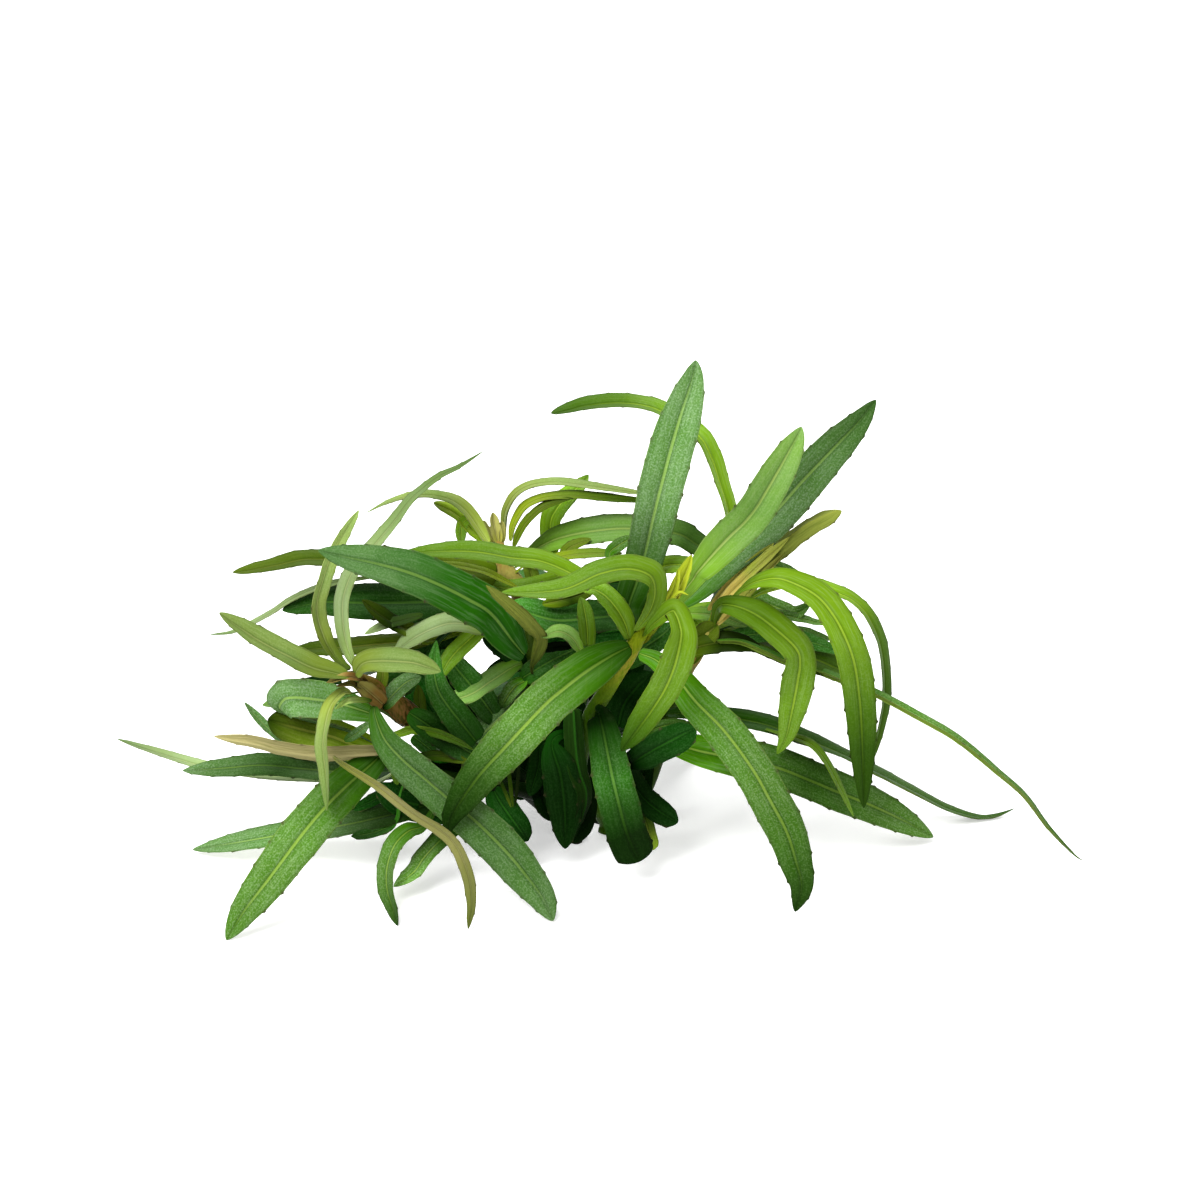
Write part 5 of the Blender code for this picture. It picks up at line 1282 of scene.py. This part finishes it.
# The low right shoot and the dark leaves at the foot of the clump
LOW_RIGHT_STEM = Stem("low_right_stem", (3.4, -2.6), (
    (6, 9, -0.5), (7.5, 16, -2), (9, 21, -2.5), (9.5, 23, -2)), 1.4, Bark.SHADED)
LOW_RIGHT_LEAVES = (
    Leaf("lower_right_leaf", ((9.5, 21, -6.3), (11, 20.3, -7.3), (16.5, 18.7, -8.5), (21.5, 17.7, -8.5),
         (29.5, 15.9, -8), (35, 13.8, -7), (40, 11.7, -6), (46, 9.3, -4), (51.5, 6.6, -2),
         (55.6, 4.2, -0.3)), 7.5, -25, Look.MID, blunt=3.2, tone=(4.1, 1.2, 0.42, 0.85, 1.3)),
    Leaf("lower_right_long_leaf", ((11, 24.8, -3), (15, 24.9, -3), (24, 24, -2.5), (29.2, 22.8, -2),
         (33.4, 21.2, -1.5), (36.7, 20, -1), (41.7, 17.8, 0), (45.3, 15.8, 1), (48.3, 14.3, 2.5),
         (53, 11.8, 5), (58, 9.2, 7), (63, 7.7, 8.5), (66, 7.9, 9), (69.2, 9, 9.5)),
         6.2, (-50, -55, -62, -74, -78, -78, -78), Look.MID, fold=15, tone=(0.27, 0.5, 0.96, 0.56)),
    Leaf("centre_low_leaf", ((-8, 19.8, -10), (-6.6, 14.5, -10.5), (-5.9, 9, -11), (-5.8, 2.2, -11.5)),
         6.3, 0, Look.DARK, blunt=2.2, tone=(1.67, 0.95, 0.64, 0.65),
         stalk=((-2.6, 20.6, -6), (-5.8, 21.4, -8.6))),
    Leaf("centre_front_leaf", ((0.2, 23.3, -12), (0.9, 20, -13), (1.9, 15, -14), (3.3, 9, -15),
         (4.4, 5, -15.5), (6.5, 0, -16)),
         7, 0, Look.DEEP, base=0.7, widest=0.75, blunt=9, tone=(0.21, 0.95, 1.58, 0.65, 0.16, 0.15),
         stalk=((-1.3, 25, -7.4), (-0.4, 24.9, -10.2))),
    Leaf("centre_dark_leaf", ((5, 16.4, -10.5), (9, 18.6, -11.5), (12.7, 20.6, -12), (16, 22.3, -12)),
         5.8, 20, Look.DARK, base=0.4, blunt=5, tone=(0.13, 1.76, 2.82),
         stalk=((8, 18.8, -2.6), (6.3, 18.4, -7.6))),
    Leaf("centre_left_leaf", ((-18, 12.5, -8), (-16.7, 10, -8.5), (-14.6, 7, -9), (-12, 3.5, -9.5)),
         5, 10, Look.DARK, blunt=4, tone=(0.78, 2.69, 0.63)),
    Leaf("centre_small_leaf", ((-9.8, 19.5, -7), (-10.2, 16.5, -7), (-10.8, 14, -7.5), (-11.8, 11, -8)),
         3.4, 10, Look.DARK, tone=(0.4, 0.4, 0.9), stalk=((-3, 19, -5.4), (-6.8, 20.6, -6.4))),
    Leaf("centre_strap_leaf", ((-4.6, 25.5, -8.5), (-4.3, 20, -9), (-3.7, 15.2, -9.5), (-2.6, 11.5, -10),
         (-3.4, 7.5, -10), (-5.8, 2.6, -9.5)),
         3.8, (160, 160, 130, 110), Look.DARK, base=0.8, widest=0.3, tone=(3.28, 2.7, 0.83, 0.03)),
    Leaf("centre_right_leaf", ((4.6, 17, -8), (5.3, 13.6, -8.4), (7.4, 10.6, -8.8), (10, 8.4, -9.2),
         (13, 6.6, -9.6)),
         4.4, -10, Look.DARK, blunt=6, tone=(0.56, 0.44, 1.06), stalk=((7.9, 18, -2.4), (6, 18.6, -5.8))),
    Leaf("centre_side_leaf", ((8.2, 19.5, -3), (7.2, 15.2, -5), (6.9, 11, -6.5), (7.1, 6.5, -7.5)),
         3.6, 0, Look.DARK, base=0.8, blunt=4, tone=0.5),
    Leaf("centre_flank_leaf", ((-10.8, 15.5, -6), (-10, 12.2, -7), (-9, 9.4, -8), (-7.9, 6.8, -9)),
         3.5, 0, Look.DARK, base=0.6, blunt=4, tone=(0.4, 0.24)),
    Leaf("centre_right_strip", ((7.2, 8.5, -9), (8, 5.5, -9.5), (8.9, 2, -10)),
         2.6, -10, Look.OLIVE, blunt=8, tone=(0.03, 0.75, 2.88), stalk=((6.6, 12, -1.2), (7.6, 11, -6))),
    Leaf("lower_right_thin_leaf", ((29, 21.8, -5), (33.3, 20.7, -6), (35.8, 19.4, -7.5), (37.7, 17, -8.5),
         (39.2, 14.4, -9), (40.8, 11, -9), (42.3, 7.6, -8.5)),
         2.6, -60, Look.BRIGHT, fold=15, tone=(0.74, 0.75, 0.93, 1.35),
         stalk=((10, 23.6, -1.6), (20, 23.2, -1.2), (26, 22.6, -3))),
    Leaf("centre_foot_leaf", ((-3, 13, -7), (-2.7, 9.5, -7.5), (-3.2, 6.3, -8), (-4.6, 3.2, -8.5)),
         4.6, 0, Look.DARK, base=0.7, blunt=3, tone=(0.52, 0.2, 0.48)),
    Leaf("centre_pale_leaf", ((6.5, 20.6, -9), (9.5, 22.4, -10.2), (13, 23, -10.8), (15.7, 22.7, -11)),
         2.2, -10, Look.MID, tone=(0.3, 0.66, 0.66)),
    Leaf("centre_back_leaf", ((-3, 21, 3), (-2, 25.5, 11), (-1, 27, 21), (1, 25.5, 31)),
         6.5, 60, Look.DEEP),
    # These three dark leaves behind the foot fill gaps with painted shade.
    Leaf("centre_fill_leaf", ((-9.8, 15.5, 3), (-7.2, 20, 3), (-4.6, 24.5, 3), (-3, 27.5, 3)),
         5.4, 10, Look.DARK, base=0.7, tone=0.4),
    Leaf("centre_cover_leaf", ((-14, 10.5, 4), (-12.5, 15, 4), (-11, 20, 4)),
         4.4, 10, Look.DARK, base=0.7, tone=0.4),
    Leaf("centre_gap_leaf", ((-1.6, 11, 4), (-1.4, 17, 4), (-1, 24, 4)),
         5.6, 10, Look.DARK, base=0.7, tone=0.4),
    Leaf("right_low_back_leaf", ((8, 20, 2), (14, 19.8, 8), (21.5, 18.6, 14), (28, 16.4, 19)),
         6.5, -60, Look.DEEP),
    Leaf("middle_back_leaf", ((-8, 38.5, 10), (-4, 40.3, 18), (1, 40.9, 27), (5, 39.8, 35)),
         6.5, -60, Look.DEEP, stalk=((-11.8, 38.8, 8),)),
    Leaf("left_far_back_leaf", ((-9, 28, 9), (-14, 28.6, 17), (-20, 27.2, 25), (-26, 24.4, 31)),
         6.5, 60, Look.DEEP),
    Leaf("high_back_leaf", ((-10, 36.5, 9), (-12, 39, 16), (-15, 40.4, 25), (-18, 39.8, 33)),
         6, 60, Look.DEEP),
)

# The shoot behind, whose leaves fill the back of the clump
BACK_STEM = Stem("back_stem", (-1, 4.6), (
    (1, 15, 9.5), (0, 24, 12), (-1, 31.5, 15)), 1.5, Bark.SHADED)
BACK_LEAVES = (
    Leaf("back_left_leaf", ((-3.5, 30, 17), (-11, 31, 22), (-20, 27.5, 28), (-27, 22, 32),
         (-30, 18.8, 33.5)), 7, 60, Look.DARK, tone=(2.4, 3, 1.2)),
    Leaf("back_middle_leaf", ((-1, 32, 18), (-2, 35.5, 26), (-3, 36.5, 36), (-4, 33.5, 47),
         (-4.5, 28.7, 56)), 7, 60, Look.DARK, tone=(1, 2, 2.5)),
    Leaf("back_right_leaf", ((1.5, 29, 17), (8, 31.5, 22), (12.5, 31.5, 28), (13, 29, 34), (10, 26, 40)),
         7, -60, Look.DARK, tone=(0.4, 2, 2.5)),
    Leaf("back_low_left_leaf", ((-2.3, 21.5, 13), (-8, 23, 19), (-15, 21, 27), (-20, 18, 33)),
         6.5, 60, Look.DARK, tone=(1, 2, 2.5)),
    Leaf("back_low_right_leaf", ((2.3, 21.5, 13), (8, 23, 20), (13, 21.5, 28), (17, 19, 35)),
         6.5, -60, Look.DARK, tone=(1, 2, 2.5)),
    Leaf("back_upper_left_leaf", ((-14, 45, 16), (-13, 47, 24), (-10, 47, 33), (-7, 44, 42),
         (-5, 39, 49)), 6, -60, Look.DEEP, fold=15, tone=(2, 2.2, 0.8), stalk=((-14.2, 46, 11.6),)),
    Leaf("back_upper_right_leaf", ((19, 42, 10), (21, 44, 17), (22, 44.5, 25), (20, 42, 33),
         (18, 37, 40)), 6, -60, Look.DEEP, fold=15, stalk=((18.4, 38.6, 1.6), (18.6, 41.2, 6.5))),
)

SHOOTS = (
    Shoot(FRONT_STEM, (FRONT_BUD,), FRONT_LEAVES),
    Shoot(RIGHT_STEM, (RIGHT_BUD,), RIGHT_LEAVES),
    Shoot(REAR_STEM, (REAR_BUD,), REAR_LEAVES),
    Shoot(LEFT_STEM, (LEFT_BUD,), LEFT_LEAVES),
    Shoot(LOW_LEFT_STEM, (), LOW_LEFT_LEAVES),
    Shoot(LOW_RIGHT_STEM, (), LOW_RIGHT_LEAVES),
    Shoot(BACK_STEM, (), BACK_LEAVES),
)


@dataclass(frozen=True)
class Lamp:
    """A square soft light that looks at the clump's middle, with its lengths in metres."""

    name: str
    place: Point
    side: float
    power: float

    def build(self) -> None:
        """Adds the light."""
        data = bpy.data.lights.new(self.name, "AREA")
        data.size = self.side
        data.energy = self.power
        lamp = bpy.data.objects.new(self.name, data)
        bpy.context.scene.collection.objects.link(lamp)
        lamp.location = self.place
        aim = bpy.data.objects["floor"].location - lamp.location
        lamp.rotation_euler = aim.to_track_quat("-Z", "Y").to_euler()


@dataclass(frozen=True)
class Studio:
    """The pale floor, the soft lights and the camera, none of which is part of the clump."""

    floor_side: float = 6.0
    floor_tone: float = 0.7
    floor_roughness: float = 0.9
    floor_glow: float = 0.45
    world_strength: float = 0.45
    lens: float = 135.0
    sensor: float = 36.0
    lamps: tuple[Lamp, ...] = (
        Lamp("key_light", (-0.45, -0.55, 1.1), 0.8, 37),
        Lamp("fill_light", (0.9, -0.5, 0.7), 0.9, 6),
        Lamp("rear_light", (0.2, 0.9, 0.9), 0.9, 9))

    def floor(self) -> None:
        """Lays the floor, a square sheet that glows a little."""
        half = self.floor_side / 2
        corners = [(-half, -half, 0), (half, -half, 0), (half, half, 0), (-half, half, 0)]
        mesh = bpy.data.meshes.new("floor")
        mesh.from_pydata(corners, [], [(0, 1, 2, 3)])
        floor = bpy.data.objects.new("floor", mesh)
        bpy.context.scene.collection.objects.link(floor)
        material = bpy.data.materials.new("floor_paint")
        material.use_nodes = True
        settings = {"Base Color": (self.floor_tone,) * 3 + (1,), "Roughness": self.floor_roughness,
                    "Emission Color": WHITE, "Emission Strength": self.floor_glow}
        for title, value in settings.items():
            material.node_tree.nodes["Principled BSDF"].inputs[title].default_value = value
        mesh.materials.append(material)

    def build(self) -> None:
        """Sets up the floor, the world, the lamps and the camera."""
        self.floor()
        scene = bpy.context.scene
        scene.world = bpy.data.worlds.new("studio")
        scene.world.use_nodes = True
        background = scene.world.node_tree.nodes["Background"]
        background.inputs["Color"].default_value = WHITE
        background.inputs["Strength"].default_value = self.world_strength
        for lamp in self.lamps:
            lamp.build()
        scene.view_settings.view_transform = "Standard"
        data = bpy.data.cameras.new("sight")
        data.lens = self.lens
        data.sensor_width = self.sensor
        camera = bpy.data.objects.new("sight", data)
        scene.collection.objects.link(camera)
        camera.location = SIGHT_POINT * MM
        camera.rotation_euler = (math.pi / 2 - SIGHT_ANGLE, 0, 0)
        scene.camera = camera


def main() -> None:
    """Builds the clump and its studio."""
    logging.basicConfig(level=logging.INFO, format="%(name)s: %(message)s")
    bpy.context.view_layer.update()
    for shoot in SHOOTS:
        shoot.build()
    Studio().build()


if __name__ == "__main__":
    main()
